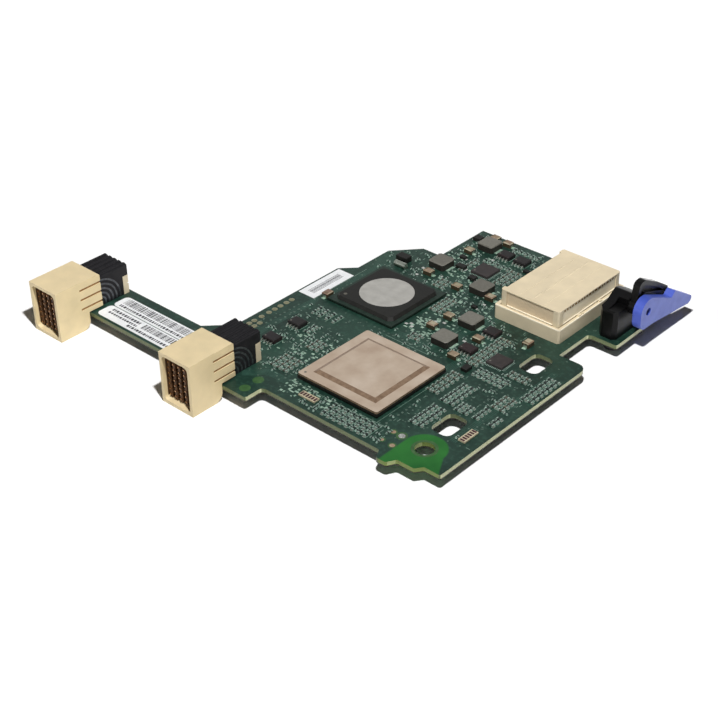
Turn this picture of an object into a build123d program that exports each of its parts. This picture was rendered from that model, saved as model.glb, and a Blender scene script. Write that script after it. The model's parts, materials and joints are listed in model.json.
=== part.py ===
from build123d import *
import math
import os

# Expansion card for a blade server: a stepped circuit board with two right-angle midplane headers
# at its front, a tall mezzanine connector, two large processors, power parts and a release lever.
# While it is modelled, x = 0 is the board's right edge, y = 0 its long front edge and z = 0 its
# top face, with +Y towards the back. The last lines move everything to the part's own origin.

# Board
BOARD_T = 1.6
BOARD_BACK_Y = 118.4
BOARD_UPPER_LEFT_X = -75.6
BOARD_SHOULDER_Y = 95.0
BOARD_MIDDLE_LEFT_X = -91.1
BOARD_LOWER_LEFT_X = -95.95
BOARD_SHOULDER_CUT = (8.1, 9.0)
BOARD_WAIST_Y = 70.8
BOARD_WAIST_CUT = 4.85
ARM_ROOT_CUT = 7.7
ARM_TAIL_L = 18.1
ARM_BACK_Y = 11.3
ARM_FRONT_Y = -6.2
ARM_ROOT_X = -65.2
ARM_ROOT_FRONT_Y = -6.9
NOTCH_X = -10.1
NOTCH_FRONT_Y = 71.1
NOTCH_BACK_Y = 86.7
CORNER_HOLE_R = 2.9
CORNER_HOLE_AT = (-10.75, 8.6)
KEY_HOLE_R = 1.1
KEY_HOLE_AT = (-19.2, 8.9)
SLOT_W = 6.9
SLOT_L = 10.1
SLOT_R = 2.2
SLOT_X = -12.55
SLOT_YS = (21.6, 62.6)

# Midplane headers
HEADER_XS = {"left": -141.9, "right": -81.25}
HEADER_FRONT_Y = -18.9
HEADER_TOP_Z = 12.2
HEADER_DROP = 5.14
HEADER_WALL = 1.05
HEADER_HOOD_WALL = 0.8
HEADER_SIDE_GAP = 0.22
HEADER_HOOD_REAR_Y = -1.5
HEADER_CAVITY_DEPTH = 10.3
HEADER_BACK_WALL = 1.7
HEADER_KEEL_R = 3.0
HEADER_MOUTH_R = 1.4
BOARD_GAP = 0.1
GROOVE_ZS = (2.6, 6.0, 9.4)
GROOVE_W = 0.8
GROOVE_DEPTH = 0.4
GROOVE_L = 8.3
WAFER_COUNT = 5
WAFER_PITCH = 2.24
WAFER_T = 2.05
WAFER_TOP_Z = 10.5
WAFER_REAR_Y = 10.2
WAFER_REAR_STEP = 2.1
WAFER_CHAMFER = 0.7
TONGUE_T = 0.9
TONGUE_LOW_Z = -3.4
TONGUE_HIGH_Z = 9.6
FIT_GAP = 0.1
SPACER_H = 6.5
BLADE_ROWS = 7
BLADE_L = 5.6
BLADE_W = 0.4
BLADE_H = 0.6
TAIL_ROWS = 3
TAIL_L = 1.6
TAIL_W = 0.5

# Mezzanine connector
MEZZ_LEFT_X = -38.2
MEZZ_FRONT_Y = 75.5
MEZZ_W = 24.6
MEZZ_L = 36.0
MEZZ_BASE_H = 3.0
MEZZ_LIP_H = 1.9
MEZZ_WALL = 1.2
MEZZ_CAP_GAP = 0.1
MEZZ_CAP_TOP_Z = 10.34
MEZZ_CAP_CORNER = 2.2
MEZZ_CAP_RECESS = 0.8
MEZZ_CAP_RIM = 0.45
MEZZ_CAP_PLINTH = 1.1
MEZZ_CAP_ROOF = 1.5
MEZZ_CAP_WALL = 1.3
MEZZ_BLADE_COLUMNS = 4
MEZZ_BLADE_ROWS = 6
MEZZ_BLADE_H = 3.2

# Lidded processor
LIDDED_SIZE = 31.0
LIDDED_CORNER = (-60.7, 10.2)
BALL_H = 0.5
LIDDED_SUBSTRATE_T = 1.0
LID_BRIM_T = 0.7
LID_RISE = 0.6
LID_MARGIN = 3.3
LID_SLOPE = 1.4

# Disc-topped controller
DISC_SIZE = 27.0
DISC_CENTRE = (-70.97, 62.14)
DISC_SUBSTRATE_T = 0.56
MOULD_SIZE = 24.0
MOULD_H = 1.15
MOULD_DRAFT = 0.7
MOULD_CORNER = 1.5
DISC_R = 8.9
DISC_T = 0.5

# Ball grids under both chips, of which the outermost ring can be seen
BALL_PITCH = 3.5
BALL_R = 0.45
BALL_INSET = 1.6

# Small parts, with the middle of each footprint
INDUCTOR_SIZE = 6.6
INDUCTOR_H = 2.4
INDUCTORS = ((-66.3, 110.1), (-71.2, 90.1), (-50.8, 85.7), (-41.0, 67.6), (-40.8, 54.2))
SOIC_L = 4.9
SOIC_W = 3.9
SOIC_H = 1.5
SOIC_LEAD_PITCH = 1.27
SOIC_LEAD_W = 0.42
SOIC_LEAD_REACH = 1.05
SOICS = ((-58.3, 108.7), (-51.7, 108.7), (-32.4, 67.2), (-32.2, 54.9), (-81.5, 31.8), (-81.3, 20.4))
FLAT_PACKS = ((-57.4, 96.1, 7.0, 1.0), (-21.1, 56.0, 6.0, 0.9))
TANTALUM_L = 3.2
TANTALUM_W = 2.5
TANTALUM_H = 1.7
TANTALUMS = ((-69.6, 103.2), (-70.8, 83.0), (-48.3, 65.8), (-48.9, 58.2), (-57.8, 81.6),
             (-45.4, 83.2), (-68.0, 115.6), (-62.4, 115.3), (-33.3, 61.3), (-33.3, 49.2))
UPRIGHT_TANTALUMS = ((-20.3, 69.2), (-86.3, 50.8))
FUSE_BLOCK_SIZE = (4.6, 3.0, 2.0)
FUSE_BLOCK_AT = (-82.8, 84.4)
CRYSTAL_R = 1.0
CRYSTAL_L = 4.6
CRYSTAL_AT = (-83.0, 80.4)
TRANSISTOR_SIZE = (2.2, 3.0, 1.0)
TRANSISTOR_AT = (-26.3, 46.6)
ARRAY_W = 2.4
ARRAY_H = 0.5
ARRAY_ELEMENTS = 6
ARRAY_STEP = 1.05
ARRAYS_ACROSS = ((-51.4, 5.3),)
ARRAYS_UPRIGHT = ((-5.1, 20.6),)

# Chip resistors and capacitors: first x, first y, columns, rows, step in x, step in y, lies along
CHIP_L = 1.6
CHIP_W = 0.8
CHIP_H = 0.5
CAPACITOR_BLOCKS = ((-55.8, 66.2, 2, 5, 2.6, 2.0, "x"), (-28.3, 49.9, 2, 8, 2.3, 2.4, "x"),
                    (-27.9, 31.2, 2, 6, 2.2, 2.3, "x"), (-8.4, 36.5, 2, 4, 2.6, 2.0, "x"),
                    (-71.5, 10.5, 3, 4, 2.6, 2.1, "x"), (-69.8, 24.4, 2, 3, 2.6, 2.1, "x"),
                    (-64.3, 91.6, 1, 5, 2.0, 2.1, "x"), (-50.6, 92.6, 2, 5, 2.6, 2.3, "x"),
                    (-64.6, 78.4, 2, 3, 2.4, 2.2, "x"), (-50.6, 49.2, 2, 2, 2.6, 2.2, "x"),
                    (-14.6, 51.9, 3, 2, 2.6, 2.2, "x"), (-42.6, 90.0, 1, 8, 2.0, 2.6, "x"))
RESISTOR_BLOCKS = ((-23.0, 46.4, 6, 2, 2.0, 2.6, "y"), (-4.4, 45.2, 2, 7, 2.4, 2.2, "x"),
                   (-21.4, 29.6, 2, 6, 2.8, 2.0, "x"), (-21.4, 15.8, 2, 6, 2.8, 2.0, "x"),
                   (-15.4, 28.6, 2, 3, 2.6, 1.7, "x"), (-9.0, 28.8, 1, 4, 2.0, 1.8, "x"),
                   (-3.6, 28.9, 1, 3, 2.0, 1.9, "x"), (-43.0, 2.6, 8, 3, 2.3, 2.4, "y"),
                   (-82.6, 40.6, 4, 2, 2.9, 2.6, "y"), (-62.0, 102.2, 5, 1, 2.4, 2.0, "y"),
                   (-58.8, 114.4, 5, 1, 2.4, 2.0, "y"), (-76.4, 30.4, 1, 3, 2.0, 1.9, "x"))
UNDERSIDE_BLOCKS = ((-53.0, 19.0, 3, 3, 7.5, 7.0, "x"), (-77.0, 57.0, 3, 2, 6.0, 9.0, "y"))

# Labels
LABEL_T = 0.12
ARM_LABEL_LEFT_INSET = 1.0
ARM_LABEL_RIGHT_INSET = 2.3
ARM_LABEL_FRONT_Y = -5.2
ARM_LABEL_W = 6.3
ARM_LABEL_GAP = 0.35
ARM_LABEL_R = 1.6
SIDE_LABEL_AT = (-95.2, 46.5)
SIDE_LABEL_SIZE = (6.7, 19.2)

# Release lever and the bracket that carries it
PIVOT_Y = 96.9
PIVOT_Z = 9.0
LEVER_INNER_X = 0.8
LEVER_T = 3.0
LEVER_HUB_REACH = 4.3
LEVER_HUB_TOP = 4.8
LEVER_HUB_BOTTOM = 5.7
LEVER_REACH = 27.4
LEVER_TIP_DROP = 7.4
LEVER_RUNNING_GAP = 0.08
PIN_R = 0.9
PIN_HEAD_R = 1.2
PIN_HEAD_T = 0.5
PIN_RECESS = 0.8
BRACKET_RIGHT_X = -2.0
BRACKET_W = 6.3
BRACKET_FRONT_Y = 88.4
BRACKET_FRONT_H = 9.8
BRACKET_TOP_Z = 13.3
BRACKET_L = 20.6
BRACKET_FOOT_H = 2.6
BOSS_R = 2.6
BOSS_GAP = 0.3
BRACKET_EDGE = 1.2
SADDLE_W = 3.4
SADDLE_L = 6.0
CATCH_T = 2.3
CATCH_REACH = 17.0
CATCH_RISE = 8.7
CATCH_RECESS = 1.2
CATCH_RIM = 1.5
SCREW_R = 1.5
SCREW_HEAD_R = 2.75
SCREW_HEAD_H = HEADER_DROP - BOARD_T
SCREW_GRIP = 5.0
SCREW_CLEARANCE = 0.2
SCREW_YS = (93.0, 105.0)

NODES = {}


def save(name, *solids):
    """Keep the solids of one node, to be placed and written at the end."""
    NODES[name] = Compound(label=name, children=list(solids))


def block(low, size):
    """A box from its lowest corner and its three sizes."""
    return Pos(*[corner + side / 2 for corner, side in zip(low, size)]) * Box(*size)


def standing_block(centre, size, z=0.0):
    """A box on height z, from the middle of its footprint and its three sizes."""
    return Pos(centre[0], centre[1], z + size[2] / 2) * Box(*size)


def upright(centre, radius, height, z=0.0):
    """A round bar along Z from height z upwards."""
    return Pos(centre[0], centre[1], z + height / 2) * Cylinder(radius, height)


def crosswise(x, y, z, radius, length):
    """A round bar along X that starts at x."""
    return Pos(x + length / 2, y, z) * Rot(0, 90, 0) * Cylinder(radius, length)


def outline(corners):
    """A closed face from (x, y, radius) corners, where radius 0 leaves a corner sharp."""
    face = make_face(Polyline(*[corner[:2] for corner in corners], close=True))
    for x, y, radius in corners:
        if radius:
            corner = face.vertices().sort_by_distance((x, y, 0))[0]
            face = fillet(corner, radius)
    return face


def side_profile(corners, x, length):
    """A profile of (y, z, radius) corners, drawn along X from x."""
    return extrude(Plane.YZ.offset(x) * outline(corners), length)


def rounded_plate(low, size, radius, thickness, z=0.0):
    """A flat plate with rounded corners on height z."""
    centre = (low[0] + size[0] / 2, low[1] + size[1] / 2)
    return Pos(centre[0], centre[1], z) * extrude(RectangleRounded(*size, radius), thickness)


def grid(first_x, first_y, columns, rows, step_x, step_y):
    """The points of a grid, row by row."""
    return [(first_x + column * step_x, first_y + row * step_y)
            for row in range(rows) for column in range(columns)]


def board():
    """The bare board: stepped left side, rear notch, scalloped front corner, slots and holes."""
    arm_end_x = HEADER_XS["left"] - ARM_TAIL_L
    corners = [
        (0, 2.1, 0.8), (0, NOTCH_FRONT_Y, 3.0), (NOTCH_X, NOTCH_FRONT_Y, 0),
        (NOTCH_X, NOTCH_BACK_Y, 1.6), (0, NOTCH_BACK_Y, 0.8), (0, BOARD_BACK_Y, 1.0),
        (BOARD_UPPER_LEFT_X, BOARD_BACK_Y, 0), (BOARD_UPPER_LEFT_X, BOARD_SHOULDER_Y, 1.2),
        (BOARD_MIDDLE_LEFT_X + BOARD_SHOULDER_CUT[0], BOARD_SHOULDER_Y, 0),
        (BOARD_MIDDLE_LEFT_X, BOARD_SHOULDER_Y - BOARD_SHOULDER_CUT[1], 0),
        (BOARD_MIDDLE_LEFT_X, BOARD_WAIST_Y, 0),
        (BOARD_LOWER_LEFT_X, BOARD_WAIST_Y - BOARD_WAIST_CUT, 0),
        (BOARD_LOWER_LEFT_X, ARM_BACK_Y + ARM_ROOT_CUT, 0),
        (BOARD_LOWER_LEFT_X - ARM_ROOT_CUT, ARM_BACK_Y, 0), (arm_end_x, ARM_BACK_Y, 0),
        (arm_end_x, ARM_FRONT_Y, 0), (HEADER_XS["right"], ARM_FRONT_Y, 0),
        (HEADER_XS["right"], ARM_ROOT_FRONT_Y, 0), (ARM_ROOT_X, ARM_ROOT_FRONT_Y, 0.8),
        (ARM_ROOT_X, 0, 1.5), (-19.8, 0, 1.0), (-18.3, -3.2, 1.0), (-14.9, -3.2, 1.2),
        (-13.2, -0.2, 1.0), (-7.3, -0.2, 0.8), (-5.6, 2.1, 0.8),
    ]
    plate = Pos(0, 0, -BOARD_T) * extrude(outline(corners), BOARD_T)
    plate -= upright(CORNER_HOLE_AT, CORNER_HOLE_R, BOARD_T, -BOARD_T)
    plate -= upright(KEY_HOLE_AT, KEY_HOLE_R, BOARD_T, -BOARD_T)
    for y in SLOT_YS:
        low = (SLOT_X - SLOT_W / 2, y - SLOT_L / 2)
        plate -= rounded_plate(low, (SLOT_W, SLOT_L), SLOT_R, BOARD_T, -BOARD_T)
    for y in SCREW_YS:
        plate -= upright((screw_x(), y), SCREW_R + SCREW_CLEARANCE, BOARD_T, -BOARD_T)
    return plate


def cavity_back_y():
    """Where a header's mating cavity ends and its back wall starts."""
    return HEADER_FRONT_Y + HEADER_CAVITY_DEPTH


def wafer_stack():
    """The width of a header's wafers side by side."""
    return WAFER_PITCH * (WAFER_COUNT - 1) + WAFER_T


def header_width():
    """A header's outside width: its wafers, the room beside them and the hood's walls."""
    return wafer_stack() + 2 * (HEADER_SIDE_GAP + HEADER_HOOD_WALL)


def wafer_left(middle_x, number):
    """The left face of one wafer in a header."""
    return middle_x - wafer_stack() / 2 + number * WAFER_PITCH


def tongue_left(middle_x, number):
    """The left face of one wafer's tongue."""
    return wafer_left(middle_x, number) + (WAFER_T - TONGUE_T) / 2


def header_housing(middle_x):
    """The shroud: open mating mouth in front, slotted back wall, hood over the wafers' noses."""
    width = header_width()
    left = middle_x - width / 2
    back_wall_y = cavity_back_y() + HEADER_BACK_WALL
    keel_y = ARM_ROOT_FRONT_Y - FIT_GAP
    corners = [
        (HEADER_FRONT_Y, -HEADER_DROP, 0), (HEADER_FRONT_Y, HEADER_TOP_Z, 0),
        (HEADER_HOOD_REAR_Y, HEADER_TOP_Z, 0.6), (HEADER_HOOD_REAR_Y, BOARD_GAP + 0.6, 0),
        (keel_y, BOARD_GAP + 0.6, 0), (keel_y, -HEADER_DROP, HEADER_KEEL_R),
    ]
    shroud = side_profile(corners, left, width)
    cavity_h = HEADER_TOP_Z + HEADER_DROP - 2 * HEADER_WALL
    mouth = RectangleRounded(width - 2 * HEADER_WALL, cavity_h, HEADER_MOUTH_R)
    middle_z = (HEADER_TOP_Z - HEADER_DROP) / 2
    mouth_plane = Plane((middle_x, HEADER_FRONT_Y, middle_z), x_dir=(1, 0, 0), z_dir=(0, -1, 0))
    shroud -= extrude(mouth_plane * mouth, -HEADER_CAVITY_DEPTH)
    hood_h = WAFER_TOP_Z + 2 * FIT_GAP
    hood_w = width - 2 * HEADER_HOOD_WALL
    shroud -= block((middle_x - hood_w / 2, back_wall_y, 0), (hood_w, -back_wall_y, hood_h))
    for number in range(WAFER_COUNT):
        low = (tongue_left(middle_x, number) - FIT_GAP, cavity_back_y(), TONGUE_LOW_Z - FIT_GAP)
        high_z = TONGUE_HIGH_Z + FIT_GAP
        shroud -= block(low, (TONGUE_T + 2 * FIT_GAP, HEADER_BACK_WALL, high_z - low[2]))
    for z in GROOVE_ZS:
        for x in (left, left + width - GROOVE_DEPTH):
            low = (x, HEADER_HOOD_REAR_Y - GROOVE_L, z - GROOVE_W / 2)
            shroud -= block(low, (GROOVE_DEPTH, GROOVE_L, GROOVE_W))
    return shroud


def wafer(middle_x, number):
    """One contact wafer: a flat body on the board and a tongue through the housing's back wall."""
    x = wafer_left(middle_x, number)
    nose_y = cavity_back_y() + HEADER_BACK_WALL + FIT_GAP
    step_y = WAFER_REAR_Y - WAFER_REAR_STEP
    corners = [
        (nose_y, BOARD_GAP, 0), (nose_y, WAFER_TOP_Z, 0), (WAFER_REAR_Y, WAFER_TOP_Z, 0),
        (WAFER_REAR_Y, SPACER_H, 0), (step_y, SPACER_H, 0), (step_y, 0, 0), (step_y - 1.2, 0, 0),
        (step_y - 1.2, BOARD_GAP, 0),
    ]
    body = side_profile(corners, x, WAFER_T)
    ridge = body.edges().filter_by(Axis.Y).group_by(Axis.Z)[-1]
    body = chamfer(ridge, WAFER_CHAMFER, 0.35)
    low = (tongue_left(middle_x, number), cavity_back_y(), TONGUE_LOW_Z)
    keel_y = ARM_ROOT_FRONT_Y - FIT_GAP
    body += block(low, (TONGUE_T, keel_y - low[1], TONGUE_HIGH_Z - TONGUE_LOW_Z))
    upper = (low[0], low[1], BOARD_GAP)
    body += block(upper, (TONGUE_T, nose_y - low[1], TONGUE_HIGH_Z - BOARD_GAP))
    return body


def header_spacer(middle_x):
    """The bar behind the wafers that holds their tails in line, split by a middle groove."""
    width = wafer_stack()
    low = (middle_x - width / 2, WAFER_REAR_Y - WAFER_REAR_STEP, 0)
    bar = block(low, (width, WAFER_REAR_STEP, SPACER_H))
    groove = (low[0], WAFER_REAR_Y - 0.4, SPACER_H / 2)
    return bar - block(groove, (width, 0.4, 0.5))


def header_blades(middle_x):
    """The contact blades that stand in a header's mating cavity."""
    blades = []
    pitch = (TONGUE_HIGH_Z - TONGUE_LOW_Z) / BLADE_ROWS
    for number in range(WAFER_COUNT):
        x = tongue_left(middle_x, number) + (TONGUE_T - BLADE_W) / 2
        for row in range(BLADE_ROWS):
            z = TONGUE_LOW_Z + (row + 0.5) * pitch - BLADE_H / 2
            blades.append(block((x, cavity_back_y() - BLADE_L, z), (BLADE_W, BLADE_L, BLADE_H)))
    return blades


def header_tails(middle_x):
    """The solder tails of a header under the board."""
    tails = []
    first_y = ARM_FRONT_Y + 1.8
    pitch = (WAFER_REAR_Y - WAFER_REAR_STEP - first_y) / TAIL_ROWS
    for number in range(WAFER_COUNT):
        x = wafer_left(middle_x, number) + WAFER_T / 2
        for row in range(TAIL_ROWS):
            centre = (x, first_y + (row + 0.5) * pitch)
            tails.append(standing_block(centre, (TAIL_W, TAIL_W, TAIL_L), -BOARD_T - TAIL_L))
    return tails


def cap_inset():
    """How far the cover's walls stand in from the tray's outside."""
    return MEZZ_WALL + MEZZ_CAP_GAP


def mezzanine_base():
    """The connector's tray: a floor on the board with a raised lip around the contacts."""
    height = MEZZ_BASE_H + MEZZ_LIP_H
    tray = block((MEZZ_LEFT_X, MEZZ_FRONT_Y, 0), (MEZZ_W, MEZZ_L, height))
    tray = chamfer(tray.edges().filter_by(Axis.Z), 0.5)
    inside = (MEZZ_LEFT_X + MEZZ_WALL, MEZZ_FRONT_Y + MEZZ_WALL, MEZZ_BASE_H)
    return tray - block(inside, (MEZZ_W - 2 * MEZZ_WALL, MEZZ_L - 2 * MEZZ_WALL, MEZZ_LIP_H))


def mezzanine_cap():
    """The cover that sits in the tray: a thin-rimmed roof on four corner posts with recessed walls."""
    width = MEZZ_W - 2 * cap_inset()
    length = MEZZ_L - 2 * cap_inset()
    low = (MEZZ_LEFT_X + cap_inset(), MEZZ_FRONT_Y + cap_inset())
    height = MEZZ_CAP_TOP_Z - MEZZ_BASE_H
    cap = block((low[0], low[1], MEZZ_BASE_H), (width, length, height))
    cap = chamfer(cap.edges().filter_by(Axis.Z), 0.5)
    band_z = MEZZ_BASE_H + MEZZ_CAP_PLINTH
    band_h = MEZZ_CAP_TOP_Z - MEZZ_CAP_RIM - band_z
    long_side = length - 2 * MEZZ_CAP_CORNER
    short_side = width - 2 * MEZZ_CAP_CORNER
    recess = MEZZ_CAP_RECESS
    cap -= block((low[0], low[1] + MEZZ_CAP_CORNER, band_z), (recess, long_side, band_h + MEZZ_CAP_RIM))
    right = low[0] + width - recess
    cap -= block((right, low[1] + MEZZ_CAP_CORNER, band_z), (recess, long_side, band_h))
    for y in (low[1], low[1] + length - recess):
        cap -= block((low[0] + MEZZ_CAP_CORNER, y, band_z), (short_side, recess, band_h))
    wall = MEZZ_CAP_RECESS + MEZZ_CAP_WALL
    hollow = (low[0] + wall, low[1] + wall, MEZZ_BASE_H)
    cap -= block(hollow, (width - 2 * wall, length - 2 * wall, height - MEZZ_CAP_ROOF))
    return cap


def mezzanine_blades():
    """The contact blades that stand in the tray under the cover."""
    step_x = MEZZ_W / (MEZZ_BLADE_COLUMNS + 1)
    step_y = MEZZ_L / (MEZZ_BLADE_ROWS + 1)
    first_x = MEZZ_LEFT_X + step_x
    first_y = MEZZ_FRONT_Y + step_y
    points = grid(first_x, first_y, MEZZ_BLADE_COLUMNS, MEZZ_BLADE_ROWS, step_x, step_y)
    return [standing_block(point, (0.4, 1.1, MEZZ_BLADE_H), MEZZ_BASE_H) for point in points]


def ball_ring(centre, size):
    """The outermost ring of solder balls under a square chip."""
    half = size / 2 - BALL_INSET
    count = int(2 * half / BALL_PITCH)
    step = 2 * half / count
    ball = extrude(RegularPolygon(BALL_R, 4), BALL_H)
    points = []
    for number in range(count):
        along = -half + number * step
        points += [(along, -half), (half, along), (-along, half), (-half, -along)]
    return [Pos(centre[0] + x, centre[1] + y, 0) * ball for x, y in points]


def lidded_chip():
    """Substrate and stamped lid of the large processor."""
    size = LIDDED_SIZE
    x, y = LIDDED_CORNER
    centre = (x + size / 2, y + size / 2)
    substrate = standing_block(centre, (size, size, LIDDED_SUBSTRATE_T), BALL_H)
    lid_z = BALL_H + LIDDED_SUBSTRATE_T
    lid = rounded_plate((x, y), (size, size), 0.8, LID_BRIM_T, lid_z)
    foot = size - 2 * LID_MARGIN
    rise_z = lid_z + LID_BRIM_T
    step = Pos(centre[0], centre[1], rise_z) * Rectangle(foot, foot)
    lid += extrude(step, LID_RISE, taper=math.degrees(math.atan2(LID_SLOPE, LID_RISE)))
    return substrate, lid


def disc_chip():
    """Substrate, moulding and heat slug of the controller with the round metal disc."""
    size = DISC_SIZE
    x, y = DISC_CENTRE
    substrate = standing_block((x, y), (size, size, DISC_SUBSTRATE_T), BALL_H)
    mould_z = BALL_H + DISC_SUBSTRATE_T
    square = Rectangle(MOULD_SIZE, MOULD_SIZE)
    foot = Pos(x, y, mould_z) * chamfer(square.vertices(), MOULD_CORNER)
    mould = extrude(foot, MOULD_H, taper=math.degrees(math.atan2(MOULD_DRAFT, MOULD_H)))
    slug_z = mould_z + MOULD_H - DISC_T
    slug = upright((x, y), DISC_R, DISC_T, slug_z)
    return substrate, mould - slug, slug


def inductor(centre):
    """A shielded power inductor: a square ferrite block with soft upper edges."""
    body = standing_block(centre, (INDUCTOR_SIZE, INDUCTOR_SIZE, INDUCTOR_H))
    body = chamfer(body.edges().filter_by(Axis.Z), 0.7)
    return chamfer(body.faces().sort_by(Axis.Z)[-1].edges(), 0.25)


def small_outline_body(centre):
    """The moulded body of an eight-lead package."""
    lift = 0.15
    body = standing_block(centre, (SOIC_L, SOIC_W, SOIC_H - lift), lift)
    return chamfer(body.faces().sort_by(Axis.Z)[-1].edges(), 0.25)


def small_outline_leads(centre):
    """Four bent leads on each long side of an eight-lead package."""
    thickness = 0.2
    shoulder_z = SOIC_H / 2
    leads = []
    for side in (-1, 1):
        start = centre[1] + side * SOIC_W / 2
        bend = start + side * SOIC_LEAD_REACH / 2
        end = start + side * SOIC_LEAD_REACH
        corners = [
            (start, shoulder_z, 0), (bend, shoulder_z, 0), (end, thickness, 0), (end, 0, 0),
            (bend, 0, 0), (start, shoulder_z - thickness, 0),
        ]
        for number in range(4):
            middle = centre[0] + (number - 1.5) * SOIC_LEAD_PITCH
            leads.append(side_profile(corners, middle - SOIC_LEAD_W / 2, SOIC_LEAD_W))
    return leads


def flat_pack(x, y, size, height):
    """A square leadless package with a chamfered top."""
    body = standing_block((x, y), (size, size, height))
    return chamfer(body.faces().sort_by(Axis.Z)[-1].edges(), 0.15)


def tantalum(centre, upright_on_card):
    """A moulded tantalum capacitor with a tapered top."""
    size = (TANTALUM_L, TANTALUM_W, TANTALUM_H)
    if upright_on_card:
        size = (TANTALUM_W, TANTALUM_L, TANTALUM_H)
    body = standing_block(centre, size)
    return chamfer(body.faces().sort_by(Axis.Z)[-1].edges(), 0.3)


def chips(blocks, z=0.0):
    """Chip resistors or capacitors, laid out block by block."""
    found = []
    for first_x, first_y, columns, rows, step_x, step_y, lies in blocks:
        size = (CHIP_L, CHIP_W, CHIP_H) if lies == "x" else (CHIP_W, CHIP_L, CHIP_H)
        for point in grid(first_x, first_y, columns, rows, step_x, step_y):
            found.append(standing_block(point, size, z))
    return found


def resistor_arrays():
    """Rows of joined resistor elements near the front corner and beside the front edge."""
    arrays = []
    length = ARRAY_STEP * ARRAY_ELEMENTS
    for x, y in ARRAYS_ACROSS:
        arrays.append(standing_block((x, y), (length, ARRAY_W, ARRAY_H)))
    for x, y in ARRAYS_UPRIGHT:
        arrays.append(standing_block((x, y), (ARRAY_W, length, ARRAY_H)))
    return arrays


def arm_label(front_y):
    """One of the two long labels on the arm, with rounded ends."""
    left = HEADER_XS["left"] + header_width() / 2 + ARM_LABEL_LEFT_INSET
    right = HEADER_XS["right"] - header_width() / 2 - ARM_LABEL_RIGHT_INSET
    low = (left, front_y)
    size = (right - left, ARM_LABEL_W)
    return rounded_plate(low, size, ARM_LABEL_R, LABEL_T)


def screw_x():
    """The line of the bracket's two screws."""
    return BRACKET_RIGHT_X - BRACKET_W / 2


def bracket():
    """The moulding that carries the lever: front block, pivot cheek, rear foot and catch strap."""
    front = BRACKET_FRONT_Y
    left = BRACKET_RIGHT_X - BRACKET_W
    back = front + BRACKET_L
    corners = [
        (front, 0, 0), (front, BRACKET_FRONT_H, 0.9), (front + 3.9, BRACKET_FRONT_H + 0.7, 1.5),
        (PIVOT_Y - 0.4, BRACKET_TOP_Z, 1.4), (PIVOT_Y + 3.0, BRACKET_TOP_Z - 0.9, 1.8),
        (PIVOT_Y + 6.4, BRACKET_FOOT_H + 2.8, 1.5),
        (PIVOT_Y + 6.4, BRACKET_FOOT_H, 0), (back, BRACKET_FOOT_H, 0.6), (back, 0, 0),
    ]
    body = side_profile(corners, left, BRACKET_W)
    footprint = Rectangle(BRACKET_W, BRACKET_L)
    front_corners = footprint.vertices().group_by(Axis.Y)[0]
    footprint = Pos(left + BRACKET_W / 2, front + BRACKET_L / 2) * chamfer(front_corners, BRACKET_EDGE)
    body &= extrude(footprint, 2 * BRACKET_TOP_Z)
    saddle = (BRACKET_RIGHT_X - SADDLE_W, front, BRACKET_FRONT_H)
    body -= block(saddle, (SADDLE_W, SADDLE_L, BRACKET_TOP_Z))
    body += catch()
    boss_l = LEVER_INNER_X - BOSS_GAP - BRACKET_RIGHT_X
    body += crosswise(BRACKET_RIGHT_X, PIVOT_Y, PIVOT_Z, BOSS_R, boss_l)
    body -= crosswise(left, PIVOT_Y, PIVOT_Z, PIN_R, BRACKET_W + boss_l)
    for y in SCREW_YS:
        body -= upright((screw_x(), y), SCREW_R, screw_grip(y))
    return body


def catch():
    """The strap beside the lever, from the bracket's hump down towards the lever's tip."""
    reach = CATCH_REACH
    rise = CATCH_RISE
    shape = [
        (-1.6, rise * 0.2, 0), (-0.5, rise - 0.3, 1.6), (2.6, rise, 2.4), (reach * 0.6, rise * 0.54, 4.0),
        (reach, 0.3, 0.8), (reach - 2.0, -2.0, 0.8), (reach * 0.53, 0.4, 2.0), (2.6, rise * 0.3, 1.0),
    ]
    strap = [(PIVOT_Y + y, PIVOT_Z + z, radius) for y, z, radius in shape]
    body = side_profile(strap, BRACKET_RIGHT_X, CATCH_T)
    face = offset(Plane.YZ * outline(strap), -CATCH_RIM)
    recess_x = BRACKET_RIGHT_X + CATCH_T - CATCH_RECESS
    return body - Pos(recess_x, 0, 0) * extrude(face, CATCH_RECESS)


def lever_outline():
    """The lever's side view about its pivot, in (y, z, radius) corners."""
    reach = LEVER_REACH
    drop = LEVER_TIP_DROP
    shape = [
        (-LEVER_HUB_REACH, LEVER_HUB_TOP, 4.0), (1.6, LEVER_HUB_TOP - 0.6, 2.6),
        (reach * 0.49, -1.1, 0.8), (reach * 0.56, 0.7, 0.7),
        (reach, 0.8 - drop, 1.2), (reach - 2.4, -drop - 0.9, 1.4),
        (reach * 0.12, -LEVER_HUB_BOTTOM, 2.0), (-LEVER_HUB_REACH + 0.4, -LEVER_HUB_BOTTOM, 3.2),
    ]
    return [(PIVOT_Y + y, PIVOT_Z + z, radius) for y, z, radius in shape]


def lever():
    """The coloured release lever, bored for its pin and recessed for the pin's head."""
    body = side_profile(lever_outline(), LEVER_INNER_X, LEVER_T)
    outer_x = LEVER_INNER_X + LEVER_T
    bore = crosswise(LEVER_INNER_X, PIVOT_Y, PIVOT_Z, PIN_R + LEVER_RUNNING_GAP, LEVER_T)
    seat = PIN_RECESS + PIN_HEAD_T + LEVER_RUNNING_GAP
    head = crosswise(outer_x - seat, PIVOT_Y, PIVOT_Z, PIN_HEAD_R + LEVER_RUNNING_GAP, seat)
    return body - bore - head


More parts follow.
